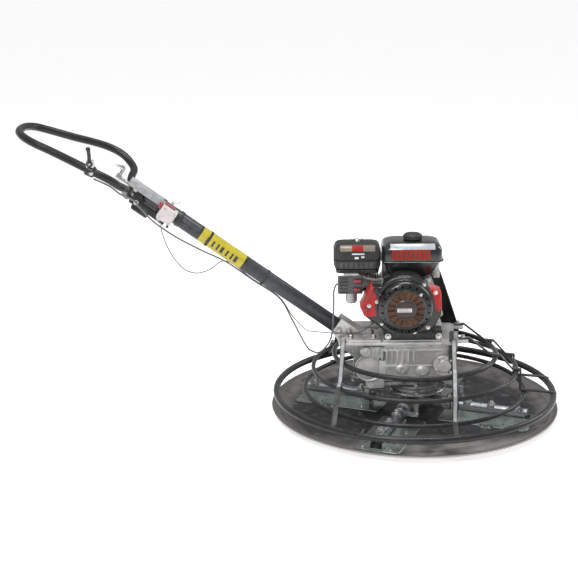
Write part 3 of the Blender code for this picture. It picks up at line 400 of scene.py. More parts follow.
def skinned(bm, rings, closed=False):
    """Quads from ring to ring; the two ends are capped, or joined when it is closed."""
    sides = len(rings[0])
    if closed:
        start = rings[-1][0].co
        turn = min(range(sides), key=lambda k: (rings[0][k].co - start).length)
        rings = rings + [rings[0][turn:] + rings[0][:turn]]
    for low, high in zip(rings, rings[1:]):
        for i in range(sides):
            j = (i + 1) % sides
            bm.faces.new((low[i], low[j], high[j], high[i]))
    if not closed:
        bm.faces.new(rings[0][::-1])
        bm.faces.new(rings[-1])
    return bm


def lathe(profile, origin=(0, 0, 0), axis=Z, steps=48):
    """(radius, height) pairs, listed down the outer side, turned about axis.

    A profile that starts and ends at radius 0 is solid; any other closes on itself."""
    bm = bmesh.new()
    rings = [ring_of(bm, Z * height, X * radius, Y * radius, steps) if radius else
             [bm.verts.new((0, 0, height))] * steps for radius, height in profile]
    pairs = list(zip(rings, rings[1:]))
    if profile[0][0]:
        pairs.append((rings[-1], rings[0]))
    for upper, lower in pairs:
        for i in range(steps):
            j = (i + 1) % steps
            corners = dict.fromkeys((upper[i], lower[i], lower[j], upper[j]))
            if len(corners) > 2:
                bm.faces.new(tuple(corners))
    bm.transform(frame_along(origin, axis))
    return bm


def rod(start, end, radius, edge=0.0, sides=24, tip=None):
    """A round bar; edge rounds its rims, and tip is the radius at its far end."""
    start, end = Vector(start), Vector(end)
    long = (end - start).length
    far = radius if tip is None else tip
    profile = [(0, long), (far - edge, long), (far, long - edge),
               (radius, edge), (radius - edge, 0), (0, 0)]
    if not edge:
        profile = [(0, long), (far, long), (radius, 0), (0, 0)]
    return lathe(profile, start, end - start, sides)


def sweep(points, radius, sides=14, closed=False):
    """A round tube along the points, with its ends closed."""
    points = [Vector(p) for p in points]
    last = len(points) - 1
    bm = bmesh.new()
    rings = []
    guide = None
    for i, at in enumerate(points):
        before = points[i - 1] if closed or i else at
        after = points[(i + 1) % len(points)] if closed or i < last else at
        along = (after - before).normalized()
        guide = guide or along.orthogonal().normalized()
        guide = (guide - along * guide.dot(along)).normalized()
        rings.append(ring_of(bm, at, guide * radius, along.cross(guide) * radius, sides))
    return skinned(bm, rings, closed)


def flat_bar(points, across, width, thick, edge=0.0008):
    """A flat bar bent through the points; across is the direction of its width."""
    wide = Vector(across).normalized() * width / 2
    spots = [Vector(p) for p in points]
    bm = bmesh.new()
    rows = []
    for i, spot in enumerate(spots):
        ways = [(spots[j + 1] - spots[j]).normalized() for j in (i - 1, i)
                if 0 <= j < len(spots) - 1]
        along = sum(ways, Vector()).normalized()
        deep = along.cross(wide).normalized() * thick / 2 / max(0.6, along.dot(ways[0]))
        inner = 1 - edge / (width / 2)
        rows.append([bm.verts.new(spot + a * wide + b * deep) for a, b in
                     ((-1, -0.6), (-inner, -1), (inner, -1), (1, -0.6),
                      (1, 0.6), (inner, 1), (-inner, 1), (-1, 0.6))])
    return skinned(bm, rows)


def slab(outline, thick, place, edge=0.0, steps=2):
    """A plate with the outline of (x, y) pairs, centred on place's XY plane."""
    bm = bmesh.new()
    face = bm.faces.new([bm.verts.new((x, y, -thick / 2)) for x, y in outline])
    if face.normal.z > 0 or sum(a[0] * b[1] - b[0] * a[1] for a, b in
                                zip(outline, outline[1:] + outline[:1])) > 0:
        face.normal_flip()
    raised = bmesh.ops.extrude_face_region(bm, geom=[face])["geom"]
    bmesh.ops.translate(bm, vec=(0, 0, thick),
                        verts=[v for v in raised if isinstance(v, bmesh.types.BMVert)])
    bmesh.ops.recalc_face_normals(bm, faces=bm.faces)
    if edge:
        rims = [e for e in bm.edges if abs(e.verts[0].co.z - e.verts[1].co.z) < 1e-7]
        bmesh.ops.bevel(bm, geom=rims, offset=edge, segments=steps, profile=0.5, affect="EDGES",
                        clamp_overlap=True)
    bm.transform(place)
    return bm


def rounded_rect(low, high, corner, steps=6):
    """Points round a rectangle with round corners, from (x, y) to (x, y)."""
    points = []
    for cx, cy, start in ((high[0] - corner, high[1] - corner, 0),
                          (low[0] + corner, high[1] - corner, 90),
                          (low[0] + corner, low[1] + corner, 180),
                          (high[0] - corner, low[1] + corner, 270)):
        for i in range(steps + 1):
            a = radians(start + 90 * i / steps)
            points.append((cx + corner * cos(a), cy + corner * sin(a)))
    return points


def rounded_box(levels, corner):
    """A body through round-cornered rectangles: (z, x low, x high, y low, y high)."""
    bm = bmesh.new()
    return skinned(bm, [[bm.verts.new((x, y, z)) for x, y in rounded_rect((x0, y0), (x1, y1),
                                                                          corner)] for z, x0, x1,
                        y0, y1 in levels])


def ellipsoid(centre, size, sides=20):
    bm = bmesh.new()
    bmesh.ops.create_uvsphere(bm, u_segments=sides, v_segments=sides // 2, radius=1.0,
                              matrix=Matrix.Translation(centre) @ Matrix.Diagonal((*size, 1)))
    return bm


def hex_head(at, axis, size, turn=0.0, washer=True, reach=0.62):
    """A hexagon head on a washer, sitting on the surface at this point; size is its width."""
    place = frame_along(at, axis) @ Matrix.Rotation(turn, 4, "Z")
    radius = size / sqrt(3)
    base = size * 0.14 if washer else 0.0
    bm = bmesh.new()
    levels = ((base, 1.0), (base + size * (reach - 0.1), 1.0), (base + size * reach, 0.86))
    skinned(bm, [ring_of(bm, Z * level, X * radius * share, Y * radius * share, 6) for level,
                 share in levels])
    if washer:
        bm = merged(bm, lathe([(0, base), (size * 0.84, base), (size * 0.88, base * 0.6),
                               (size * 0.88, 0), (0, 0)], steps=20))
    bm.transform(place)
    return bm


def cap_screw(at, axis, size):
    """A round-headed screw with a hexagon socket."""
    profile = ((0, 0.45), (0.26, 0.45), (0.3, 0.75), (0.44, 0.75), (0.5, 0.65), (0.5, 0), (0, 0))
    return lathe([(size * r, size * h) for r, h in profile], at, axis, 18)


def merged(*shapes):
    """One mesh of several, which are used up."""
    whole = shapes[0]
    for shape in shapes[1:]:
        mesh = bpy.data.meshes.new("shape")
        shape.to_mesh(mesh)
        shape.free()
        whole.from_mesh(mesh)
        bpy.data.meshes.remove(mesh)
    return whole


def carved(body, *cutters):
    """body with the cutters taken out of it."""
    objects = []
    for bm in (body, *cutters):
        mesh = bpy.data.meshes.new("carve")
        bmesh.ops.recalc_face_normals(bm, faces=bm.faces)
        bm.to_mesh(mesh)
        bm.free()
        made = bpy.data.objects.new("carve", mesh)
        bpy.context.scene.collection.objects.link(made)
        objects.append(made)
    for tool in objects[1:]:
        mod = objects[0].modifiers.new("cut", "BOOLEAN")
        mod.operation = "DIFFERENCE"
        mod.solver = "EXACT"
        mod.object = tool
    bpy.context.view_layer.update()
    shape = objects[0].evaluated_get(bpy.context.evaluated_depsgraph_get())
    mesh = bpy.data.meshes.new_from_object(shape)
    bm = bmesh.new()
    bm.from_mesh(mesh)
    for made in objects:
        used = made.data
        bpy.data.objects.remove(made, do_unlink=True)
        bpy.data.meshes.remove(used)
    bpy.data.meshes.remove(mesh)
    return bm


def curve_through(points, count, closed=False):
    """Evenly shared points on a Catmull-Rom curve through the route's points."""
    ways = [Vector(p) for p in points]
    size = len(ways)
    spans = size if closed else size - 1
    if not closed:
        ways = ways + [2 * ways[-1] - ways[-2], 2 * ways[0] - ways[1]]
        size = len(ways)
    path = []
    for step in range(count if closed else count + 1):
        along = step * spans / count
        i = min(int(along), spans - 1)
        t = along - i
        a, b, c, d = (ways[(i + k) % size] for k in (-1, 0, 1, 2))
        path.append(0.5 * (2 * b + (c - a) * t + (2 * a - 5 * b + 4 * c - d) * t * t
                           + (3 * b - a - 3 * c + d) * t ** 3))
    return path


class Piece:
    """One visible piece: shapes are added to its mesh, each with its own finish."""

    def __init__(self, name, body="root"):
        self.name, self.body = name, body
        self.finishes = []
        self.bm = bmesh.new()

    def add(self, finish, *shapes, place=None):
        if finish not in self.finishes:
            self.finishes.append(finish)
        for shape in shapes:
            for face in shape.faces:
                face.material_index = self.finishes.index(finish)
                face.smooth = True
            if place:
                shape.transform(place)
            merged(self.bm, shape)
        return self

    def bolt(self, *head, place=None, **shape):
        """A zinc-plated hexagon head, as hex_head makes it."""
        return self.add(ZINC, hex_head(*head, **shape), place=place)

    def done(self, slot, *replaced, sharp=36):
        mesh = bpy.data.meshes.new(self.name)
        bmesh.ops.recalc_face_normals(self.bm, faces=self.bm.faces)
        self.bm.to_mesh(mesh)
        self.bm.free()
        mesh.shade_smooth()
        mesh.set_sharp_from_angle(angle=radians(sharp))
        for finish in self.finishes:
            mesh.materials.append(finish)
        made = bpy.data.objects.new(self.name, mesh)
        bpy.context.scene.collection.objects.link(made)
        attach(made, self.body)
        if replaced:
            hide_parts(*replaced)
        return made


# ------------------------------------------------------------------ pan, blades and rotor

PAN_FLAT, PAN_R, PAN_LIP, PAN_T = 0.413, 0.475, 0.03, 0.003
BLADE_IN, BLADE_OUT, BLADE_HALF, BLADE_Z, BLADE_T = 0.1, 0.4, 0.075, 0.0033, 0.003
ARM_Z, ARM_R, ARM_IN, ARM_OUT = 0.042, 0.013, 0.03, 0.386
FINGER_SIDE, FINGER_Z, FINGER_R = 0.055, 0.079, 0.006


def pan():
    lip = [(PAN_R - 0.01, PAN_LIP - PAN_T), (PAN_R - 0.0065, PAN_LIP - 0.0004),
           (PAN_R - 0.003, PAN_LIP), (PAN_R - 0.0006, PAN_LIP - 0.001),
           (PAN_R, PAN_LIP - 0.0028)]
    rise = [(PAN_R - 0.002 - 0.06 * i / 8, 0.0225 * (1 - i / 8) ** 1.25) for i in range(9)]
    inner = [(0.18, PAN_T), (0.182, PAN_T + 0.0006), (0.186, PAN_T + 0.0006), (0.188, PAN_T),
             (PAN_FLAT - 0.003, PAN_T)]
    slope = [(PAN_FLAT - 0.003 + 0.055 * i / 7, PAN_T + 0.024 * (i / 7) ** 1.25)
             for i in range(1, 8)]
    profile = [(0, PAN_T)] + inner + slope + lip + rise + [(PAN_FLAT - 0.002, 0), (0, 0)]
    piece = Piece("pan_disc", "pan").add(PAN, lathe(profile, steps=160))
    for quarter in range(4):
        for side in (-1, 1):
            middle = Vector((0.27, side * (BLADE_HALF + 0.0065), PAN_T))
            at = quarter_turn(quarter) @ Matrix.Translation(middle)
            piece.add(GALVANISED, box((-0.022, -0.002, 0), (0.022, 0.002, 0.013), 0.001, at),
                      box((-0.022, 0, 0), (0.022, side * 0.011, 0.003), 0.001, at))
            for dx in (-0.012, 0.012):
                piece.bolt(at @ Vector((dx, side * 0.0065, 0.003)), Z, 0.007, 0.3 + dx * 40)
    piece.done("rolled_steel", "float_pan")


def rotor():
    hub = Piece("rotor_hub", "rotor")
    hub.add(IRON, lathe([(0, 0.08), (0.034, 0.08), (0.036, 0.078), (0.045, 0.077), (0.0455, 0.074),
                         (0.0455, 0.032), (0.036, 0.019), (0, 0.019)]))
    for quarter in range(4):
        turn = quarter_turn(quarter)
        hub.add(IRON, rod((0.03, 0, ARM_Z), (0.13, 0, ARM_Z), 0.0205, 0.0015, 28),
                rod((0.112, 0, ARM_Z), (0.1302, 0, ARM_Z), 0.0235, 0.002, 28),
                box((0.03, -0.004, 0.022), (0.104, 0.004, 0.034), 0.0015),
                box((0.03, -0.0035, 0.052), (0.0465, 0.0035, 0.071), 0.002), place=turn)
        hub.add(ZINC, hex_head((0.121, 0, ARM_Z + 0.0232), Z, 0.009, 0.4),
                rod((0.085, -0.018, ARM_Z), (0.085, -0.0268, ARM_Z), 0.0028, 0.0006, 12),
                place=turn)
    hub.bolt((0, 0, 0.019), -Z, 0.024, washer=False, reach=0.3)
    hub.done("cast_iron", "spider_hub")


def arm(number):
    """A pitch arm with its finger, and the blade bolted under it."""
    turn = quarter_turn(number - 1)
    body = f"arm_{number}"
    bar = Piece(f"pitch_arm_{number}", body)
    near, far = 0.136, 0.155
    bar.add(GALVANISED, rod((ARM_IN, 0, ARM_Z), (ARM_OUT, 0, ARM_Z), ARM_R, 0.0015, 24),
            rod((near - 0.004, 0, ARM_Z), (far + 0.004, 0, ARM_Z), 0.0195, 0.002, 28),
            box((near, 0, ARM_Z - 0.006), (far, FINGER_SIDE + 0.006, ARM_Z + 0.008), 0.003),
            box((near, FINGER_SIDE - 0.009, ARM_Z - 0.004),
                (far, FINGER_SIDE + 0.0055, FINGER_Z), 0.003),
            rod((0.068, FINGER_SIDE, FINGER_Z), (far, FINGER_SIDE, FINGER_Z), FINGER_R, 0.001, 18),
            box((0.16, -0.016, 0.0285), (ARM_OUT - 0.005, 0.016, ARM_Z - 0.002), 0.0012),
            place=turn)
    for x in (0.185, 0.265, 0.348):
        bar.add(GALVANISED, box((x - 0.012, -0.015, ARM_Z + 0.002),
                                (x + 0.012, 0.015, ARM_Z + 0.015), 0.003), place=turn)
        bar.bolt((x, 0, ARM_Z + 0.015), Z, 0.013, x * 9, place=turn)
    bar.bolt((far, FINGER_SIDE, ARM_Z + 0.004), X, 0.01, 0.2, place=turn)
    bar.done("galvanised", f"arm_{number}")

    blade = Piece(f"float_blade_{number}", body)
    low, top = BLADE_Z, BLADE_Z + BLADE_T
    plan = rounded_rect((BLADE_IN, -BLADE_HALF), (BLADE_OUT, BLADE_HALF), 0.012, 4)
    place = turn @ Matrix.Translation((0, 0, (low + top) / 2))
    blade.add(BLADE_STEEL, slab(plan, BLADE_T, place, 0.0008, 1))
    channel = [(-0.022, 0), (0.022, 0), (0.022, 0.0215), (0.019, 0.0215), (0.019, 0.003),
               (-0.019, 0.003), (-0.019, 0.0215), (-0.022, 0.0215)]
    upright = turn @ Matrix.Translation((0.272, 0, top + 0.0002)) @ Matrix((
        (0, 0, 1, 0), (1, 0, 0, 0), (0, 1, 0, 0), (0, 0, 0, 1)))
    blade.add(BLADE_STEEL, slab(channel, 0.244, upright, 0.0005, 1))
    for x in (0.168, 0.225, 0.315, 0.385):
        for side in (-1, 1):
            blade.bolt((x, side * 0.046, top), Z, 0.008, x * 7 + side, place=turn)
    blade.done("galvanised", f"blade_{number}")


def pitch_parts():
    """The plate that the fingers meet, and the collar and yoke that press it down."""
    plate_top, plate_low = 0.0913, 0.0853
    plate = Piece("press_plate", "pressure_plate").add(STEEL, lathe([
        (0.048, plate_top), (0.103, plate_top), (0.105, plate_top - 0.0015), (0.105, plate_low),
        (0.048, plate_low)], steps=72))
    for a, spot in around(6, 0.092, (0, 0, plate_top)):
        plate.bolt(spot, Z, 0.008, a, reach=0.3)
    plate.done("bright_steel", "pressure_plate")
    low, top = 0.0916, 0.1041
    Piece("press_collar", "thrust_collar").add(IRON, lathe([
        (0.05, top), (0.0735, top), (0.075, top - 0.0015), (0.0755, low + 0.004),
        (0.077, low + 0.003), (0.077, low), (0.05, low)], steps=64)).done(
        "cast_iron", "thrust_collar")
    x, z = -0.15, 0.12
    fork = Piece("press_yoke", "yoke")
    fork.add(IRON, rod((x, -0.066, z), (x, 0.066, z), 0.0105, 0.001),
             box((x - 0.062, -0.011, 0.114), (x, 0.011, 0.124), 0.002))
    fork.add(STEEL, rod((x, -0.086, z), (x, 0.086, z), 0.006, 0.0008))
    for side in (-1, 1):
        fork.add(IRON, box((x, side * 0.059 - 0.0065, 0.1105),
                           (0.004, side * 0.059 + 0.0065, 0.1225), 0.002),
                 rod((0, side * 0.0525, 0.1094), (0, side * 0.0655, 0.1094), 0.005, 0.0006, 16),
                 rod((x, side * 0.0525, z), (x, side * 0.066, z), 0.015, 0.0015))
        fork.bolt((-0.06, side * 0.059, 0.1225), Z, 0.007, 0.5)
    fork.done("cast_iron", "yoke")


# ------------------------------------------------------------------ guard cage

RINGS = {"outer": (0.459, 0.074, 0.011), "lower": (0.363, 0.083, 0.007),
         "middle": (0.336, 0.155, 0.007), "top": (0.267, 0.204, 0.008)}
LEG_W, LEG_T = 0.016, 0.005
DECK_TOP = 0.2743
SIDE_LEG_Y = 0.075


def leg_route(start, offset, slant):
    """Points (distance out, offset, height) down a leg, and where it meets each ring."""
    shelf = DECK_TOP + LEG_T / 2 + 0.0003
    points = [(start, offset, shelf), (start + 0.034, offset + slant * 0.034, shelf)]
    meets = {}
    for ring, (radius, height, wire) in RINGS.items():
        out = radius
        for _ in range(4):
            out = sqrt(radius ** 2 - (offset + slant * (out - start)) ** 2)
        meets[ring] = (out, offset + slant * (out - start), height + wire)
    for ring in ("top", "middle", "lower"):
        out, aside, over = meets[ring]
        over += LEG_T / 2 + 0.0012
        room = RINGS[ring][2] + LEG_T + LEG_W / 2 * abs(aside) / out
        if out - room > points[-1][0]:
            for step, lift in ((-room, 0.35), (room, 0.1)):
                points.append((out + step, aside + slant * step, over + room * lift))
    out, aside, over = meets["outer"]
    over += LEG_T / 2 + 0.0012
    points += [(out - 0.02, aside - slant * 0.02, over),
               (out + 0.002, aside + slant * 0.002, over - 0.004)]
    return points, meets


def cage():
    for ring, (radius, height, wire) in RINGS.items():
        circle = [spot for _, spot in around(140, radius, (0, 0, height), 0)]
        hoop = Piece(f"hoop_{ring}").add(CAGE, sweep(circle, wire, 18, closed=True))
        hoop.done("satin_black", f"guard_ring_{ring}")
    legs = Piece("cage_legs")
    runs = [(0.083, -0.236, -0.16, -1), (0.083, 0.118, -0.072, -1), (0.083, -0.236, -0.16, 1),
            (0.136, -SIDE_LEG_Y, 0.0, 0), (0.136, SIDE_LEG_Y, 0.0, 0)]
    for start, offset, slant, side in runs:
        route, meets = leg_route(start, offset, slant)

        def spot(out, aside, z):
            return Vector((aside, side * out, z)) if side else Vector((out, aside, z))

        points = [spot(*p) for p in route]
        width = X if side else Y
        if side < 0:
            legs.add(CAGE, flat_bar(points, width, LEG_W, LEG_T - 0.0004))
            legs.add(LEG_GREY, flat_bar(points[:-2], width, LEG_W * 0.76, LEG_T + 0.0006))
        else:
            legs.add(CAGE, flat_bar(points, width, LEG_W, LEG_T))
        legs.bolt(points[0] + (points[1] - points[0]) * 0.4 + Z * LEG_T / 2, Z, 0.011, offset * 9)
        for out, aside, top in meets.values():
            if out > route[1][0]:
                legs.add(CAGE, ellipsoid(spot(out, aside, top - 0.0015), (0.011, 0.011, 0.0035),
                                         12))
    legs.done("satin_black")


# ------------------------------------------------------------------ gearbox and deck

BOX_LOW, BOX_TOP, COVER_TOP = 0.13, 0.25, 0.262
WALL = 0.092                                      # from the middle to the casting's side wall
WORM = Vector((0.088, 0, 0.19))


def gearbox():
    """The cast housing: ribbed walls, bearing boss, lumps, handle lug and cover."""
    body = Piece("gearcase")
    levels = [(z, -0.112 - grow, 0.128 + grow, -WALL - grow, WALL + grow) for z, grow in (
        (BOX_LOW, -0.012), (BOX_LOW + 0.006, -0.004), (0.15, 0.0), (0.232, 0.0), (0.238, 0.002),
        (0.2495, 0.004))]
    body.add(CAST, rounded_box(levels, 0.02))
    body.add(CAST, lathe([(0, 0.14), (0.05, 0.14), (0.043, 0.134), (0.04, 0.1255), (0.016, 0.1255),
                          (0, 0.1255)]))
    for side in (-1, 1):
        face = side * WALL
        body.add(CAST, *ribs(6, X * 0.0175, (-0.1018, face, 0.196),
                             (-0.0962, face + side * 0.008, 0.249), 0.0018),
                 box((-0.11, face, 0.186), (0.05, face + side * 0.006, 0.195), 0.0025),
                 box((-0.112, face, 0.238), (0.128, face + side * 0.004, 0.25), 0.0018))
        for x, z, r, out in ((-0.049, 0.178, 0.024, 0.012), (0.018, 0.172, 0.026, 0.014)):
            body.add(CAST, ellipsoid((x, face, z), (r, out, r * 0.8)),
                     rod((x, face, z), (x, face + side * (out + 0.002), z), r * 0.55, 0.002))
            body.bolt((x, face + side * (out + 0.002), z), Y * side, 0.013, x * 20)
    front = Vector((WORM.x, -WALL, WORM.z))
    body.add(CAST, rod(front, front - Y * 0.013, 0.036, 0.003, 40),
             rod(front - Y * 0.012, front - Y * 0.018, 0.022, 0.002, 32))
    for a, spot in around(4, 0.0285, front - Y * 0.013, up=Z):
        body.bolt(spot, -Y, 0.009, a)
    body.add(CAST, box((-0.18, -0.0282, 0.15), (-0.1, 0.0282, 0.2485), 0.006),
             *ribs(4, Z * 0.021, (-0.172, -0.03, 0.164), (-0.112, 0.03, 0.168), 0.001))
    for side in (-1, 1):
        body.add(CAST, box((-0.164, side * 0.0702, 0.106), (-0.105, side * 0.0802, 0.165), 0.004),
                 rod((-0.15, side * 0.07, 0.12), (-0.15, side * 0.0865, 0.12), 0.013, 0.0015))
        body.add(CAST, lathe([(0, 0.004), (0.03, 0.004), (0.04, 0.001), (0.043, 0.004),
                              (0.045, 0.004), (0.045, -0.004), (0, -0.004)],
                             (-0.156, side * 0.0865, 0.18), Y * side, 40))
        body.add(CAST, box((-0.158, side * 0.066, 0.212), (-0.108, side * 0.09, 0.254), 0.004),
                 rod((-0.166, side * 0.066, 0.236), (-0.166, side * 0.097, 0.236), 0.0185, 0.003, 32),
                 rod((-0.166, side * 0.096, 0.236), (-0.166, side * 0.0995, 0.236), 0.0095, 0.001, 24),
                 *ribs(3, X * 0.0135, (-0.1436, side * 0.086, 0.21), (-0.1384, side * 0.097, 0.254),
                       0.0016),
                 box((-0.124, side * 0.086, 0.148), (-0.098, side * 0.097, 0.208), 0.005))
    body.done("cast_aluminium", "gearbox_housing")

    lid = Piece("gearcase_cover")
    plan = rounded_rect((-0.116, -0.098), (0.134, 0.098), 0.018)
    lid.add(CAST, slab(plan, COVER_TOP - BOX_TOP - 0.0006,
                       Matrix.Translation((0.0, 0.0, (COVER_TOP + BOX_TOP) / 2)), 0.0015))
    for x in (-0.104, -0.056, -0.008, 0.04, 0.088, 0.122):
        for side in (-1, 1):
            lid.bolt((x, side * 0.0975, 0.256), Y * side, 0.008, x * 30, False)
    lid.done("cast_aluminium", "gearbox_cover")


def deck():
    """The plate under the engine, with its rails; its right end is two tongues."""
    plate = Piece("deck_plate")
    middle = Matrix.Translation((0, 0, DECK_TOP - 0.006))
    plan = [(-0.135, -0.108), (0.128, -0.108)]
    for y in (-SIDE_LEG_Y, SIDE_LEG_Y):
        plan += [(0.128, y - 0.014), (0.166, y - 0.014), (0.166, y + 0.014), (0.128, y + 0.014)]
    plan += [(0.128, 0.099), (0.06, 0.099), (0.06, 0.108), (-0.255, 0.108), (-0.255, 0.036),
             (-0.135, 0.036), (-0.135, -0.036), (-0.255, -0.036), (-0.255, -0.108)]
    plate.add(CAST, slab(plan, 0.0118, middle, 0.0015))
    for side in (-1, 1):
        low = DECK_TOP - 0.001
        plate.add(BLACK, box((-0.108, side * 0.05, low), (0.08, side * 0.098, 0.3095), 0.003))
        plate.add(CAST, box((-0.112, side * 0.047, low), (0.084, side * 0.101, low + 0.006), 0.0015),
                  box((-0.234, side * 0.041, low), (-0.118, side * 0.104, low + 0.008), 0.002))
        for x in (-0.096, 0.068):
            plate.bolt((x, side * 0.102, 0.292), Y * side, 0.012, x * 9)
        for x in (-0.215, -0.14):
            plate.bolt((x, side * 0.075, DECK_TOP + 0.007), Z, 0.012, x * 40)
    post = [(0.108, -0.1045, 0.166), (0.108, -0.1045, 0.24), (0.11, -0.1045, 0.31)]
    plate.add(BLACK, flat_bar(post, X, 0.014, 0.006))
    plate.add(LEG_GREY, flat_bar([(0.122, -0.106, 0.27), (0.122, -0.106, 0.309)], X, 0.012, 0.004))
    plate.done("satin_black", "engine_deck")


# ------------------------------------------------------------------ engine

CRANK = Vector((-0.045, 0, 0.405))
HEAD_LEAN = radians(18)


def outward(angle):
    """The way out from the crankshaft's axis; 0 degrees is +X and 90 is up."""
    return X * cos(radians(angle)) + Z * sin(radians(angle))


def on_disc(radius, angle, y=0.0):
    """A point round the crankshaft's axis."""
    a = radians(angle)
    return Vector((CRANK.x + radius * cos(a), y, CRANK.z + radius * sin(a)))


def on_face(radius, angle, y):
    """A place on the recoil cover's face, whose +Z looks out of it and whose +Y is radial."""
    return frame_along(on_disc(radius, angle, y), -Y, outward(angle).cross(Y))


def engine_block():
    case = Piece("engine_case")
    case.add(CAST, box((-0.108, -0.054, 0.311), (0.06, 0.085, 0.445), 0.01),
             box((-0.118, -0.058, 0.31), (0.082, 0.096, 0.322), 0.003),
             box((-0.085, -0.03, 0.43), (0.045, 0.06, 0.467), 0.004),
             *ribs(5, Z * 0.02, (-0.111, -0.045, 0.3435), (0.0635, 0.078, 0.3465), 0.0008))
    for x in (-0.105, 0.068):
        for y in (-0.045, 0.08):
            case.bolt((x, y, 0.322), Z, 0.012, x * 11)
    case.add(YELLOW_FILM, rod((0.06, -0.03, 0.345), (0.082, -0.042, 0.352), 0.011, 0.002, 14))
    case.bolt((0.06, 0.03, 0.33), X, 0.014, 0.3)
    case.done("cast_aluminium", "crankcase")
    side = Piece("engine_side_cover")
    plan = rounded_rect((-0.11, 0.3228), (0.062, 0.446), 0.022)
    side.add(CAST, slab(plan, 0.0145, Matrix.Translation((0, 0.0928, 0)) @
                        Matrix.Rotation(pi / 2, 4, "X"), 0.0025),
             lathe([(0.0128, 0.012), (0.02, 0.012), (0.024, 0.008), (0.028, 0), (0.0128, 0)],
                   (CRANK.x, 0.098, CRANK.z), Y, 32))
    for i in range(8):
        a = tau * i / 8 + 0.2
        spot = (-0.024 + 0.076 * cos(a) * 0.98, 0.1, 0.3845 + 0.053 * sin(a))
        side.bolt(spot, Y, 0.009, a)
    side.done("cast_aluminium", "crankcase_cover")

    out = Vector((-cos(HEAD_LEAN), 0, sin(HEAD_LEAN)))
    base = Vector((CRANK.x, 0.015, CRANK.z + 0.001))
    barrel = Piece("finned_cylinder")
    place = frame_along(base, out, Y)
    barrel.add(CAST, box((-0.028, -0.028, 0.077), (0.028, 0.028, 0.159), 0.006, place))
    for i in range(9):
        at = 0.083 + i * 0.0088
        half = 0.037 if i < 6 else 0.0365
        barrel.add(CAST, box((-half, -half, at), (half, half, at + 0.0024), 0.0008, place, 1))
    plug = place @ Vector((0.02, -0.022, 0.15))
    barrel.add(WHITE, rod(plug, plug + out * 0.022 - Y * 0.014, 0.006, 0.001, 12))
    barrel.add(RUBBER, rod(plug + out * 0.014 - Y * 0.009, plug + out * 0.034 - Y * 0.022, 0.0085,
                           0.002, 14))
    barrel.done("cast_aluminium", "cylinder_and_head")
    cover = Piece("valve_cover")
    cover.add(STEEL, box((-0.03, -0.03, 0.1603), (0.03, 0.03, 0.164), 0.001, place),
              box((-0.025, -0.025, 0.162), (0.025, 0.025, 0.186), 0.006, place))
    for a in (-0.023, 0.023):
        cover.bolt(place @ Vector((a, a, 0.164)), out, 0.007, 0.4)
    cover.done("bright_steel", "rocker_cover")


def shroud_outline(inset, steps=30):
    """Round about the crank, drawn out at the lower left to feed air to the cylinder."""
    radius = 0.1 - inset
    arc = []
    for i in range(steps + 1):
        spot = on_disc(radius, 140 + (34 - 140) * i / steps)
        arc.append((spot.x, spot.z))
    right = [(0.07 - inset, 0.449), (0.074 - inset, 0.376), (0.048, 0.328 + inset),
             (0.01, 0.3125 + inset)]
    left = [(-0.098, 0.3125 + inset), (-0.176 + inset / 2, 0.372 + inset), (-0.188 + inset, 0.4),
            (-0.154 + inset, 0.468)]
    return arc + right + left


def flat_side(y):
    """Plates drawn in (x, z), lying in the plane at this y."""
    return Matrix.Translation((0, y, 0)) @ Matrix.Rotation(pi / 2, 4, "X")


def fan_housing():
    """The pressed shroud round the flywheel: black on top, red lobes left and right."""
    shell = carved(slab(shroud_outline(0.0), 0.074, flat_side(-0.098), 0.007, 3),
                   slab(shroud_outline(0.003), 0.074, flat_side(-0.0935)),
                   rod((CRANK.x, -0.16, CRANK.z), (CRANK.x, -0.1, CRANK.z), 0.082, 0, 64))
    for at, normal in (((-0.112, 0, 0.405), (0.86, 0, 0.5)), ((0.034, 0, 0.4), X),
                       ((0, 0, 0.386), (-0.1, 0, 1))):
        bmesh.ops.bisect_plane(shell, geom=list(shell.verts) + list(shell.edges)
                               + list(shell.faces), plane_co=at, plane_no=normal)
    left = Vector((0.86, 0, 0.5)).normalized()
    split = {True: [], False: []}
    for face in shell.faces:
        middle = face.calc_center_median()
        lobe = (middle - Vector((-0.112, 0, 0.405))).dot(left) < 0 or middle.x > 0.034
        split[lobe and middle.z > 0.386 + 0.1 * middle.x].append(face.index)
    red = Piece("fan_housing")
    for is_red, finish in ((True, RED), (False, RECOIL)):
        part = shell.copy()
        part.faces.ensure_lookup_table()
        drop = [part.faces[i] for i in split[not is_red]]
        bmesh.ops.delete(part, geom=drop, context="FACES")
        red.add(finish, part)
    shell.free()
    red.add(RED, slab([(-0.1835, 0.4), (-0.1535, 0.458), (-0.1465, 0.455), (-0.1755, 0.398)],
                      0.006, flat_side(-0.1352), 0.002),
            box((0.0585, -0.137, 0.384), (0.0665, -0.13, 0.442), 0.0025))
    for x, z in ((-0.16, 0.406), (0.052, 0.448), (-0.118, 0.346), (0.03, 0.332)):
        red.bolt((x, -0.135, z), -Y, 0.008, x * 20)
    red.add(TAN_FILM, rod((-0.129, -0.1346, 0.413), (-0.129, -0.1372, 0.413), 0.0075, 0.001, 18))
    red.done("red_paint", "fan_shroud")


def slots(count, radius, half, wide, start):
    """Round-ended cutters that stand radially on the recoil cover's face."""
    cuts = []
    for i in range(count):
        angle = start + 360 / count * i
        cuts.append(box((-wide, -half, -0.03), (wide, half, 0.02), wide * 0.8,
                        on_face(radius, angle, -0.172)))
    return merged(*cuts)


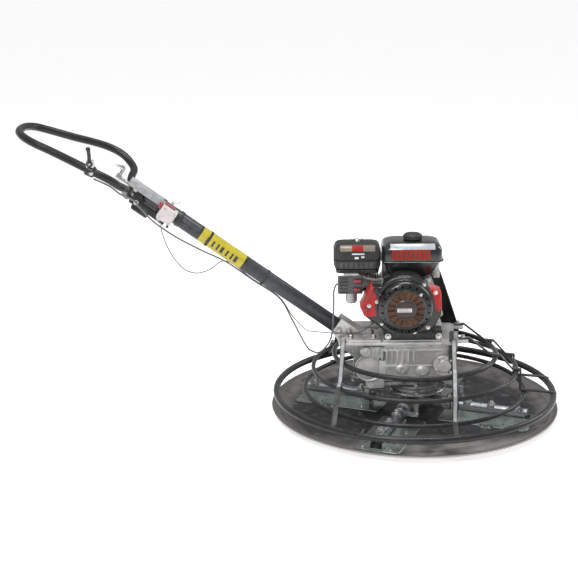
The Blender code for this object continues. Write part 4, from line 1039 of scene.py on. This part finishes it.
def recoil():
    """The starter's pressed dome on its flange, with a ring of slots over the fan."""
    at = (CRANK.x, -0.1353, CRANK.z)
    dome = lathe([(0, 0.04), (0.0615, 0.04), (0.065, 0.0394), (0.079, 0.0345), (0.0845, 0.03),
                  (0.0875, 0.0235), (0.088, 0.007), (0.089, 0.0056), (0.0955, 0.005),
                  (0.096, 0.0042), (0.096, 0), (0.0835, 0), (0.0835, 0.021), (0.076, 0.03),
                  (0.059, 0.0355), (0, 0.0355)], at, -Y, 96)
    piece = Piece("starter_cover").add(RECOIL, carved(dome, slots(16, 0.0475, 0.0125, 0.0029, 4),
                                                      slots(20, 0.0745, 0.005, 0.0026, 9)))
    piece.add(VENT_BROWN, lathe([(0.034, 0.0363), (0.0605, 0.0363), (0.0605, 0.0357),
                                 (0.034, 0.0357)], at, -Y, 64))
    for i in range(16):
        place = on_face(0.0475, 22.5 * (i + 0.5) + 4, -0.1752)
        piece.add(VENT_BROWN, box((-0.0046, -0.0118, 0), (0.0046, 0.0118, 0.0016), 0.001, place, 1))
    piece.add(HUB_BROWN, lathe([(0, 0.0435), (0.024, 0.0435), (0.0285, 0.0425), (0.0315, 0.04),
                               (0.0315, 0.038), (0, 0.038)], at, -Y, 56))
    piece.add(RECOIL, lathe([(0.0625, 0.0418), (0.0655, 0.0408), (0.0655, 0.038), (0.06, 0.038),
                             (0.06, 0.0408)], at, -Y, 80))
    badge = frame_along((CRANK.x - 0.004, -0.1788, 0.4035), -Y, X)
    piece.add(WHITE_FILM, box((-0.0235, -0.006, 0), (0.0225, 0.006, 0.0004), 0, badge))
    piece.add(DARK_FILM, *ribs(2, Y * 0.005, (-0.02, -0.0031, 0), (0.019, -0.0019, 0.0006), 0, badge))
    for angle in (50, 170, 290):
        piece.bolt(on_disc(0.0918, angle, -0.1403), -Y, 0.0075, angle)
    piece.bolt((0.001, -0.17, 0.452), -Y, 0.009, 0.4)
    piece.done("satin_black", "recoil_cover", sharp=30)

    pull = outward(128.3)                           # the rope leaves along the rim
    edge = on_disc(0.098, 150, -0.148)
    hold = edge + pull * 0.0145
    grip = Piece("starter_grip", "recoil_grip")
    grip.add(PLASTIC, rod(hold - Y * 0.036, hold + Y * 0.01, 0.0085, 0.003, 24),
             rod(hold - pull * 0.012, hold, 0.0062, 0.001, 18, tip=0.008))
    grip.add(SHEATH, rod(edge - pull * 0.146, hold, 0.0022, 0, 12))
    grip.done("black_plastic", "recoil_grip")

    at = Vector((-0.168, -0.1353, 0.392))
    knob = Piece("stop_knob", "engine_switch")
    knob.add(RED_PLASTIC, rod(at, at - Y * 0.005, 0.009, 0.001, 24),
             box(at + Vector((-0.0022, -0.0125, -0.008)), at + Vector((0.0022, -0.004, 0.008)),
                 0.0012))
    knob.done("red_plastic", "engine_switch")


def fuel_tank():
    tank = Piece("petrol_tank")
    shoulder = [(0.53, 0.0), (0.545, 0.0), (0.566, 0.001), (0.573, 0.004), (0.58, 0.01),
                (0.585, 0.019), (0.588, 0.032), (0.589, 0.046)]
    tank.add(TANK, rounded_box([(z, -0.113 + i, 0.0815 - i, -0.0585 + i, 0.0885 - i)
                                for z, i in shoulder], 0.026))
    belly = [(0.468, -0.078, 0.032, -0.036, 0.06), (0.472, -0.086, 0.042, -0.042, 0.068),
             (0.486, -0.096, 0.058, -0.048, 0.076), (0.51, -0.104, 0.07, -0.053, 0.083),
             (0.529, -0.11, 0.079, -0.056, 0.086)]
    tank.add(TANK, rounded_box(belly, 0.026))
    seam = Matrix.Translation((0, 0, 0.5292))
    tank.add(TANK, slab(rounded_rect((-0.1175, -0.0628), (0.086, 0.0925), 0.028), 0.0034, seam, 0.001))
    tank.add(ZINC, slab(rounded_rect((-0.1178, -0.0631), (0.0863, 0.0928), 0.0283), 0.001, seam,
                        0.0002, 1))
    label = Matrix.Translation((0, -0.0588, 0.5535))
    tank.add(ORANGE_FILM, box((-0.083, -0.0002, -0.016), (0.04, 0.0004, 0.016), 0, label))
    for i in range(8):
        x = -0.077 + i * 0.0148
        low = -0.011 if i % 3 else -0.005
        tank.add(DARK_FILM, box((x, -0.0008, low), (x + 0.0046, 0, 0.01), 0, label))
    # A painted highlight: a pale film over the front shoulder, where the glossy tank would catch the
    # light.
    glint = [(-0.016, -0.0583, 0.57), (-0.016, -0.0558, 0.5745), (-0.016, -0.0498, 0.5805),
             (-0.016, -0.0412, 0.5855)]
    tank.add(PAINTED_HIGHLIGHT_FILM, flat_bar([Vector(p) for p in glint], X, 0.144, 0.0006, 0.0002))
    tank.add(TANK, lathe([(0.0152, 0.597), (0.02, 0.597), (0.0205, 0.589), (0.03, 0.5862),
                          (0.0152, 0.583)], (-0.012, 0.01, 0), Z, 40))
    for x in (-0.1, 0.066):
        tank.add(CAST_DARK, box((x - 0.01, -0.012, 0.462), (x + 0.01, 0.03, 0.5285), 0.003))
        tank.bolt((x, -0.0128, 0.505), -Y, 0.01, x * 9)
    tank.done("satin_black", "fuel_tank")
    cap = Piece("petrol_cap", "fuel_cap")
    at = (-0.012, 0.01, 0.592)
    cap.add(PLASTIC, lathe([(0, 0.016), (0.019, 0.016), (0.0255, 0.0148), (0.0285, 0.0118),
                            (0.029, -0.001), (0.0205, -0.001), (0.0205, 0.0058), (0, 0.0058)],
                           at, Z, 48))
    for i in range(20):
        turn = Matrix.Translation(at) @ Matrix.Rotation(tau * i / 20, 4, "Z")
        cap.add(PLASTIC, box((0.0275, -0.0022, 0.0), (0.0308, 0.0022, 0.0112), 0.0008, turn, 1))
    cap.done("black_plastic", "fuel_cap")


def air_box():
    """The air cleaner's cover with a pale band, ribs and a wing nut on top."""
    cover = Piece("filter_cover")
    levels = [(0.5068, 0.0035), (0.509, 0.001), (0.533, 0.0), (0.5345, 0.002), (0.5375, 0.002),
              (0.539, 0.0), (0.57, 0.0), (0.5785, 0.0025), (0.5845, 0.008), (0.588, 0.018),
              (0.5892, 0.03)]
    cover.add(PLASTIC, rounded_box([(z, -0.267 + i, -0.12 - i, -0.0605 + i, 0.032 - i)
                                     for z, i in levels], 0.016))
    band = [Vector((-0.1935, y, z)) for y, z in ((-0.0606, 0.5665), (-0.0605, 0.5702),
                                                 (-0.0582, 0.5785), (-0.053, 0.5842))]
    cover.add(TAN_FILM, flat_bar(band, X, 0.112, 0.0007, 0.0002))
    cover.add(ORANGE_FILM, flat_bar(band, X, 0.036, 0.0013, 0.0002))
    for x0, x1, z, tall in ((-0.212, -0.172, 0.5575, 0.0024), (-0.203, -0.19, 0.5445, 0.0036),
                            (-0.182, -0.172, 0.5475, 0.003)):
        cover.add(WHITE_FILM, box((x0, -0.0614, z - tall), (x1, -0.0605, z + tall)))
    cover.add(GREY_PLASTIC, box((-0.25, -0.0616, 0.5085), (-0.137, -0.06, 0.53), 0.0006))
    cover.add(PLASTIC, *ribs(7, X * 0.016, (-0.24, -0.0626, 0.511), (-0.236, -0.0605, 0.528),
                              0.0006))
    for x in (-0.2676, -0.12):
        cover.add(PLASTIC, *ribs(6, Y * 0.013, (x - 0.0012, -0.045, 0.514),
                                  (x + 0.0012, -0.04, 0.568), 0.0008))
    spot = Vector((-0.193, -0.014, 0.0))
    cover.add(ZINC, lathe([(0, 0.5965), (0.006, 0.5965), (0.0085, 0.593), (0.0095, 0.5885),
                            (0, 0.5885)], spot, Z, 20))
    for side in (-1, 1):
        cover.add(ZINC, ellipsoid(spot + Vector((side * 0.012, 0, 0.595)), (0.0075, 0.002, 0.0038),
                                   14))
    cover.done("black_plastic", "air_cleaner_cover")


def carburettor():
    carb = Piece("carburettor_body")
    carb.add(CAST, box((-0.238, -0.078, 0.4305), (-0.188, -0.0235, 0.494), 0.005))
    carb.add(CAST, lathe([(0, 0.042), (0.0195, 0.042), (0.0205, 0.0385), (0.019, 0.036),
                          (0.019, 0.008), (0.015, 0.0015), (0.008, 0), (0, 0)],
                         (-0.213, -0.056, 0.394), Z, 36))
    carb.bolt((-0.213, -0.056, 0.3945), -Z, 0.01, 0.2, False, 0.3)
    carb.add(GREY_PLASTIC, box((-0.258, -0.0895, 0.432), (-0.178, -0.0775, 0.4925), 0.004))
    carb.add(PLASTIC, *ribs(5, Z * 0.0115, (-0.252, -0.0915, 0.4367), (-0.226, -0.089, 0.4403),
                            0.0008),
             *ribs(2, Z * -0.028, (-0.2085, -0.0905, 0.4675), (-0.1815, -0.0885, 0.4845), 0.0015))
    carb.add(PLASTIC, rounded_box([(0.493, -0.262, -0.125, -0.058, 0.03),
                                   (0.505, -0.264, -0.123, -0.0595, 0.0315)], 0.014))
    carb.add(ZINC, sweep(curve_through([(-0.236, -0.06, 0.484), (-0.19, -0.07, 0.486),
                                        (-0.15, -0.074, 0.478), (-0.11, -0.074, 0.478),
                                        (-0.06, -0.072, 0.4775)], 24), 0.0016, 8))
    carb.add(ZINC, flat_bar([(-0.152, -0.066, 0.47), (-0.06, -0.066, 0.47)], Z, 0.007, 0.0014))
    spring = [(-0.15 + 0.055 * i / 110, -0.062 + 0.0034 * cos(tau * i / 6),
               0.4565 + 0.0034 * sin(tau * i / 6)) for i in range(111)]
    carb.add(STEEL, sweep(spring, 0.0006, 6))
    carb.add(RUBBER, sweep(curve_through([(-0.205, -0.03, 0.436), (-0.17, -0.022, 0.428),
                                          (-0.13, -0.02, 0.446), (-0.1, -0.018, 0.474)], 20),
                           0.0042, 12))
    carb.done("cast_aluminium", "carburettor")
    for name, z, tip in (("choke_lever", 0.476, -0.184), ("fuel_valve_lever", 0.448, -0.187)):
        lever = Piece(f"{name}_knob", name)
        lever.add(RED_PLASTIC, rod((-0.202, -0.0915, z), (-0.202, -0.097, z), 0.0062, 0.001, 20),
                  box((-0.202, -0.0965, z - 0.0036), (tip, -0.0922, z + 0.0036), 0.0015))
        lever.done("red_plastic", name)


def exhaust():
    can = Piece("silencer")
    small, full = (-0.222, -0.135, 0.065, 0.115), (-0.23, -0.127, 0.058, 0.123)
    levels = [(0.452, *small), (0.457, *full), (0.545, *full), (0.55, *small)]
    can.add(EXHAUST, rounded_box(levels, 0.016))
    guard = box((-0.232, 0.1235, 0.452), (-0.125, 0.1255, 0.551), 0.0006)
    holes = []
    for row in range(4):
        z = 0.466 + row * 0.023
        holes += ribs(6, X * 0.0174, (-0.222, 0.1, z), (-0.211, 0.14, z + 0.0045), 0.002)
    can.add(BLACK, carved(guard, merged(*holes)))
    can.add(EXHAUST, rod((-0.2, 0.118, 0.515), (-0.2, 0.1398, 0.51), 0.009, 0.001, 20))
    for x in (-0.228, -0.129):
        can.bolt((x, 0.1255, 0.546), Y, 0.006, x)
    can.done("bright_steel", "muffler")


BELT_GUARD = [(-0.112, 0.395), (-0.1, 0.45), (-0.062, 0.476), (0.05, 0.476), (0.092, 0.448),
              (0.112, 0.392), (0.16, 0.25), (0.158, 0.16), (0.13, 0.122), (0.05, 0.122),
              (0.015, 0.16)]


def shrunk(outline, share):
    middle = Vector((0.028, 0.3))
    return [tuple(middle + (Vector(p) - middle) * share) for p in outline]


def belt_cover():
    shell = carved(slab(BELT_GUARD, 0.056, flat_side(0.15), 0.007, 3),
                   slab(shrunk(BELT_GUARD, 0.965), 0.06, flat_side(0.145)))
    cover = Piece("belt_cover").add(BLACK, shell)
    cover.add(BLACK, slab(shrunk(BELT_GUARD, 0.72), 0.004, flat_side(0.1788), 0.0018))
    for x, z in ((-0.088, 0.418), (0.08, 0.436), (0.146, 0.17), (0.052, 0.134)):
        cover.bolt((x, 0.178, z), Y, 0.01, x * 30)
    cover.done("satin_black", "belt_guard")


# ------------------------------------------------------------------ handle

FOOT = Vector((-0.198, 0.0, 0.255))
UPHILL = Vector((-0.812, 0.0, 0.584)).normalized()
ABOVE = Vector((UPHILL.z, 0, -UPHILL.x))
TUBE_R, TUBE_FROM, TUBE_TO = 0.025, 0.046, 0.772
HANDLE = frame_along(FOOT, UPHILL, ABOVE)         # local axes: above, side, along


def on_handle(along, above=0.0, side=0.0):
    return FOOT + UPHILL * along + ABOVE * above + Y * side


def sleeve(outer, inner, start, end, steps):
    """A ring round the handle's axis, from start to end along it."""
    return lathe([(outer, end), (outer, start), (inner, start), (inner, end)], FOOT, UPHILL, steps)


def handle():
    outline = [(-0.118, 0.168), (-0.118, 0.247), (-0.185, 0.29), (-0.243, 0.332), (-0.275, 0.288),
               (-0.236, 0.225), (-0.165, 0.168)]
    clamp = Piece("tube_clamp")
    for side in (-1, 1):
        clamp.add(CAST, slab(outline, 0.005, flat_side(side * 0.0311), 0.0012))
        rib = [(x * 0.97 - 0.006, 0.0085 + z * 0.965) for x, z in outline]
        clamp.add(CAST, slab(rib, 0.0025, flat_side(side * 0.0348), 0.0012))
        for along, above in ((0.068, 0.0), (0.04, 0.018)):
            clamp.bolt(on_handle(along, above, side * 0.0358), Y * side, 0.014, along * 30)
        clamp.bolt((-0.138, side * 0.0358, 0.224), Y * side, 0.015, 0.4)
        clamp.bolt((-0.138, side * 0.0358, 0.184), Y * side, 0.015, 0.1)
    clamp.add(STEEL, rod((-0.22, -0.033, 0.2465), (-0.22, 0.033, 0.2465), 0.006, 0.0006))
    clamp.add(CAST, box((-0.216, -0.0285, 0.272), (-0.144, 0.0285, 0.2795), 0.002))
    clamp.done("cast_aluminium", "handle_bracket")

    tube = Piece("handle_pipe")
    tube.add(TUBE, lathe([(0.021, TUBE_TO), (0.0245, TUBE_TO), (TUBE_R, TUBE_TO - 0.0008),
                          (TUBE_R, TUBE_FROM + 0.0008), (0.0245, TUBE_FROM), (0.021, TUBE_FROM)],
                         FOOT, UPHILL, 48))
    tube.add(TUBE, box((-0.044, -0.02, 0.735), (-0.0225, 0.02, 0.868), 0.003, HANDLE),
             carved(box((-0.04, -0.02, 0.848), (0.018, 0.02, 0.86), 0.002, HANDLE),
                    rod(on_handle(0.84), on_handle(0.87), 0.0086, 0, 24)))
    for side in (-1, 1):
        cheek = [(-0.044, 0.735), (-0.0225, 0.735), (-0.0225, 0.82), (0.004, 0.846), (0.004, 0.862),
                 (-0.04, 0.868)]
        local = HANDLE @ Matrix.Translation((0, side * 0.0215, 0)) @ Matrix((
            (1, 0, 0, 0), (0, 0, 1, 0), (0, 1, 0, 0), (0, 0, 0, 1)))
        tube.add(BLACK, slab(cheek, 0.003, local, 0.0008))
        tube.bolt(on_handle(0.758, -0.033, side * 0.023), Y * side, 0.01, 0.2)
        tube.bolt(on_handle(0.846, -0.031, side * 0.023), Y * side, 0.01, 0.5)
    tube.add(BLACK, box((-0.06, -0.017, 0.79), (-0.042, 0.017, 0.852), 0.006, HANDLE))
    tube.add(LEG_GREY, box((0.016, -0.0215, 0.764), (0.0245, 0.0215, 0.9), 0.002, HANDLE))
    for side in (-1, 1):
        tube.add(LEG_GREY, box((0.003, side * 0.02, 0.764), (0.022, side * 0.0228, 0.9), 0.001,
                               HANDLE))
    start, end = 0.442, 0.626                           # of the band round the tube
    for finish, r, a, b in ((DARK_FILM, 0.02525, start, end),
                            (YELLOW_FILM, 0.0254, start + 0.009, end - 0.009)):
        tube.add(finish, sleeve(r, TUBE_R - 0.001, a, b, 48))
    for i in range(7):
        a = start + 0.032 + i * 0.018
        wide = 0.006 if i % 3 else 0.01
        tube.add(DARK_FILM, box((-0.011, -0.0262, a), (0.009, -0.0225, a + wide), 0, HANDLE))
    for along in (0.362, 0.586):
        tube.add(RUBBER, sleeve(0.0268, 0.0248, along - 0.004, along + 0.004, 36))
    for along in (0.7, 0.77):
        tube.add(BLACK, sleeve(0.0272, 0.0248, along - 0.006, along + 0.006, 40))
    tube.done("grey_paint", "handle_tube")


LOOP_HALF = [(-0.93, 0.046, 0.755), (-0.928, 0.1, 0.78), (-0.923, 0.148, 0.796),
             (-0.938, 0.183, 0.814), (-0.967, 0.202, 0.839), (-1.01, 0.205, 0.862),
             (-1.06, 0.186, 0.883), (-1.11, 0.16, 0.902), (-1.156, 0.14, 0.92),
             (-1.198, 0.124, 0.936), (-1.233, 0.1, 0.95), (-1.256, 0.057, 0.958),
             (-1.2643, 0.0, 0.959)]
LEVER_AT = Vector((-1.02, -0.2055, 0.8665))


def handlebar():
    mirrored = [(x, -y, z) for x, y, z in reversed(LOOP_HALF[:-1])]
    ways = LOOP_HALF + mirrored + [(-0.932, 0.0, 0.744)]
    path = curve_through(ways, 240, closed=True)
    bar = Piece("handlebar").add(BLACK, sweep(path, 0.0125, 20, closed=True))
    along = Vector((-0.05, 0.018, 0.019)).normalized()
    bar.add(BLACK, rod(LEVER_AT - along * 0.014, LEVER_AT + along * 0.014, 0.018, 0.003, 32))
    bar.add(CAST, box((-0.012, -0.012, 0.005), (0.012, 0.0115, 0.0335), 0.003,
                      Matrix.Translation(LEVER_AT)))
    bar.bolt(LEVER_AT + Vector((0.004, -0.0175, -0.004)), -Y, 0.008, 0.3)
    bar.add(BLACK, box((-0.036, -0.022, 0.852), (-0.02, 0.022, 0.884), 0.003, HANDLE))
    for side in (-1, 1):
        bar.bolt(on_handle(0.868, -0.0195, side * 0.013), ABOVE, 0.01, 0.3)
    bar.done("satin_black", "handlebar_loop")

    hub = LEVER_AT + Vector((0, -0.0123, 0.024))
    lever = Piece("thumb_lever", "throttle_lever")
    stem = [hub + Vector(p) for p in ((0, -0.0035, 0.0), (0, -0.0035, 0.026), (-0.002, -0.0035, 0.05))]
    lever.add(PLASTIC, rod(hub, hub - Y * 0.006, 0.01, 0.001, 28), flat_bar(stem, X, 0.011, 0.005),
              ellipsoid(hub + Vector((-0.002, -0.0035, 0.046)), (0.0075, 0.0045, 0.0075), 16))
    lever.add(ZINC, cap_screw(hub - Y * 0.006, -Y, 0.008))
    lever.done("black_plastic", "throttle_lever")


def pitch_crank():
    screw = Piece("pitch_spindle", "pitch_screw")
    screw.add(STEEL, rod(on_handle(0.8), on_handle(0.944), 0.008, 0.001, 24))
    for i in range(9):
        along = 0.805 + i * 0.0045
        screw.add(STEEL, lathe([(0.0083, along + 0.001), (0.0083, along - 0.001),
                                (0.0075, along - 0.0018), (0.0075, along + 0.0018)],
                               FOOT, UPHILL, 24))
    screw.add(ZINC, lathe([(0.008, 0.879), (0.0135, 0.8785), (0.0135, 0.8625), (0.008, 0.862)],
                          FOOT, UPHILL, 32))
    screw.add(STEEL, rod(on_handle(0.938, -0.008), on_handle(0.938, 0.038), 0.0055, 0.001, 18),
              rod(on_handle(0.929, 0), on_handle(0.947, 0), 0.011, 0.001, 24))
    screw.add(ZINC, lathe([(0, 0.968), (0.006, 0.968), (0.008, 0.963), (0.008, 0.94),
                           (0.006, 0.935), (0, 0.935)], FOOT + ABOVE * 0.034, UPHILL, 28))
    screw.done("bright_steel", "pitch_screw")
    nut = Piece("pitch_slider", "pitch_nut")
    slider = box((-0.0145, -0.0145, 0.776), (0.0145, 0.0145, 0.828), 0.003, HANDLE)
    nut.add(GREY_PLASTIC, carved(slider, rod(on_handle(0.785), on_handle(0.84), 0.0087, 0, 24)))
    nut.add(STEEL, rod(on_handle(0.05), on_handle(0.78), 0.003, 0, 14))
    nut.done("bright_steel", "pitch_nut")


def stop_box():
    """The pale stop box strapped beside the tube, with a red hood over its button."""
    along = 0.745
    case = Piece("switch_case")
    body = box((-0.026, -0.062, along - 0.027), (0.026, -0.0253, along + 0.027), 0.005, HANDLE, 3)
    well = rod(on_handle(along + 0.02, 0.012, -0.044), on_handle(along + 0.04, 0.012, -0.044), 0.0107,
               0, 24)
    case.add(WHITE, carved(body, well))
    case.add(FADED_RED, box((0.0245, -0.058, along - 0.012), (0.0335, -0.028, along + 0.026), 0.004,
                            HANDLE, 3))
    case.add(WHITE, box((-0.023, -0.0635, along - 0.022), (0.02, -0.061, along + 0.019), 0.002,
                        HANDLE))
    for x, z in ((-0.019, -0.018), (0.016, -0.018), (-0.019, 0.015), (0.016, 0.015)):
        case.add(ZINC, cap_screw(on_handle(along + z, x, -0.0632), -Y, 0.005))
    case.add(RUBBER, rod(on_handle(along - 0.02, -0.026, -0.05),
                         on_handle(along - 0.024, -0.035, -0.054), 0.004, 0.001, 14))
    whip = [on_handle(along + step, above, side) for step, above, side in (
        (-0.004, 0.032, -0.043), (0.002, 0.04, -0.043), (-0.012, 0.052, -0.045),
        (-0.01, 0.062, -0.046))]
    case.add(ZINC, sweep(curve_through(whip, 14), 0.0013, 8),
             rod(on_handle(along + 0.006, 0.031, -0.043), on_handle(along + 0.006, 0.047, -0.043),
                 0.0032, 0.0008, 14))
    case.done("white_plastic", "stop_switch_box")
    at = on_handle(along + 0.0273, 0.012, -0.044)
    button = Piece("stop_push", "stop_button")
    button.add(RED_PLASTIC, rod(at, at + UPHILL * 0.012, 0.01, 0.002, 28))
    button.done("red_plastic", "stop_button")


# ------------------------------------------------------------------ cables

THROTTLE_ROUTE = [
    (-1.012, -0.205, 0.8415), (-0.965, -0.202, 0.818), (-0.936, -0.182, 0.789),
    (-0.912, -0.15, 0.768), (-0.897, -0.105, 0.745), (-0.88, -0.064, 0.708),
    (-0.842, -0.046, 0.662), (-0.776, -0.036, 0.612), (-0.695, -0.022, 0.563),
    (-0.619, -0.011, 0.522), (-0.535, -0.011, 0.4615), (-0.447, -0.012, 0.398),
    (-0.406, -0.032, 0.331), (-0.361, -0.046, 0.246), (-0.338, -0.05, 0.226),
    (-0.315, -0.052, 0.224), (-0.286, -0.052, 0.256), (-0.2735, -0.048, 0.3),
    (-0.27, -0.042, 0.38), (-0.2695, -0.036, 0.425), (-0.262, -0.034, 0.447),
    (-0.251, -0.034, 0.452), (-0.2412, -0.034, 0.452)]
STOP_ROUTE = [
    (-0.823, -0.056, 0.669), (-0.819, -0.058, 0.63), (-0.795, -0.056, 0.566),
    (-0.758, -0.048, 0.513), (-0.718, -0.036, 0.492), (-0.676, -0.02, 0.497),
    (-0.6193, 0.003, 0.521), (-0.535, 0.003, 0.4605), (-0.447, 0.002, 0.3972),
    (-0.404, -0.026, 0.34), (-0.361, -0.038, 0.298), (-0.325, -0.041, 0.291),
    (-0.286, -0.042, 0.287), (-0.235, -0.044, 0.284), (-0.185, -0.042, 0.288),
    (-0.148, -0.036, 0.312), (-0.124, -0.03, 0.34), (-0.1103, -0.03, 0.344)]


def cord(name, route, count, radius, node):
    """A cable held at both ends, as a smooth curve through its route."""
    path = curve_through(route, count)
    curve = bpy.data.curves.new(name, "CURVE")
    curve.dimensions = "3D"
    curve.bevel_depth = radius
    curve.bevel_resolution = 3
    curve.use_fill_caps = True
    line = curve.splines.new("POLY")
    line.points.add(len(path) - 1)
    for spot, at in zip(line.points, path):
        spot.co = (*at, 1)
    line.use_smooth = True
    curve.materials.append(SHEATH)
    made = bpy.data.objects.new(name, curve)
    bpy.context.scene.collection.objects.link(made)
    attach(made, "root")
    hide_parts(node)


def cables():
    cord("throttle_line", THROTTLE_ROUTE, 240, 0.0027, "throttle_cable")
    cord("stop_line", STOP_ROUTE, 200, 0.0016, "stop_wire")


# ------------------------------------------------------------------ the rest of the CAD

def carried_over():
    """Pieces whose CAD shape is right get a finish only."""
    finishes = {BRONZE: "worm_wheel", IRON: "driven_pulley clutch_drum_pulley", CAST: "flywheel",
                STEEL: "output_shaft worm_shaft output_bearing input_bearing crankshaft lift_rod "
                       "cable_sheave throttle_arm", PLASTIC: "starter_pulley", RUBBER: "v_belt"}
    for finish, names in finishes.items():
        for name in names.split():
            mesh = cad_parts[name].data
            mesh.materials.clear()
            mesh.materials.append(finish)


def main():
    camera()
    studio()
    cables()
    pan()
    rotor()
    for number in range(1, 5):
        arm(number)
    pitch_parts()
    cage()
    gearbox()
    deck()
    engine_block()
    fan_housing()
    recoil()
    fuel_tank()
    air_box()
    carburettor()
    exhaust()
    belt_cover()
    handle()
    handlebar()
    pitch_crank()
    stop_box()
    carried_over()


main()
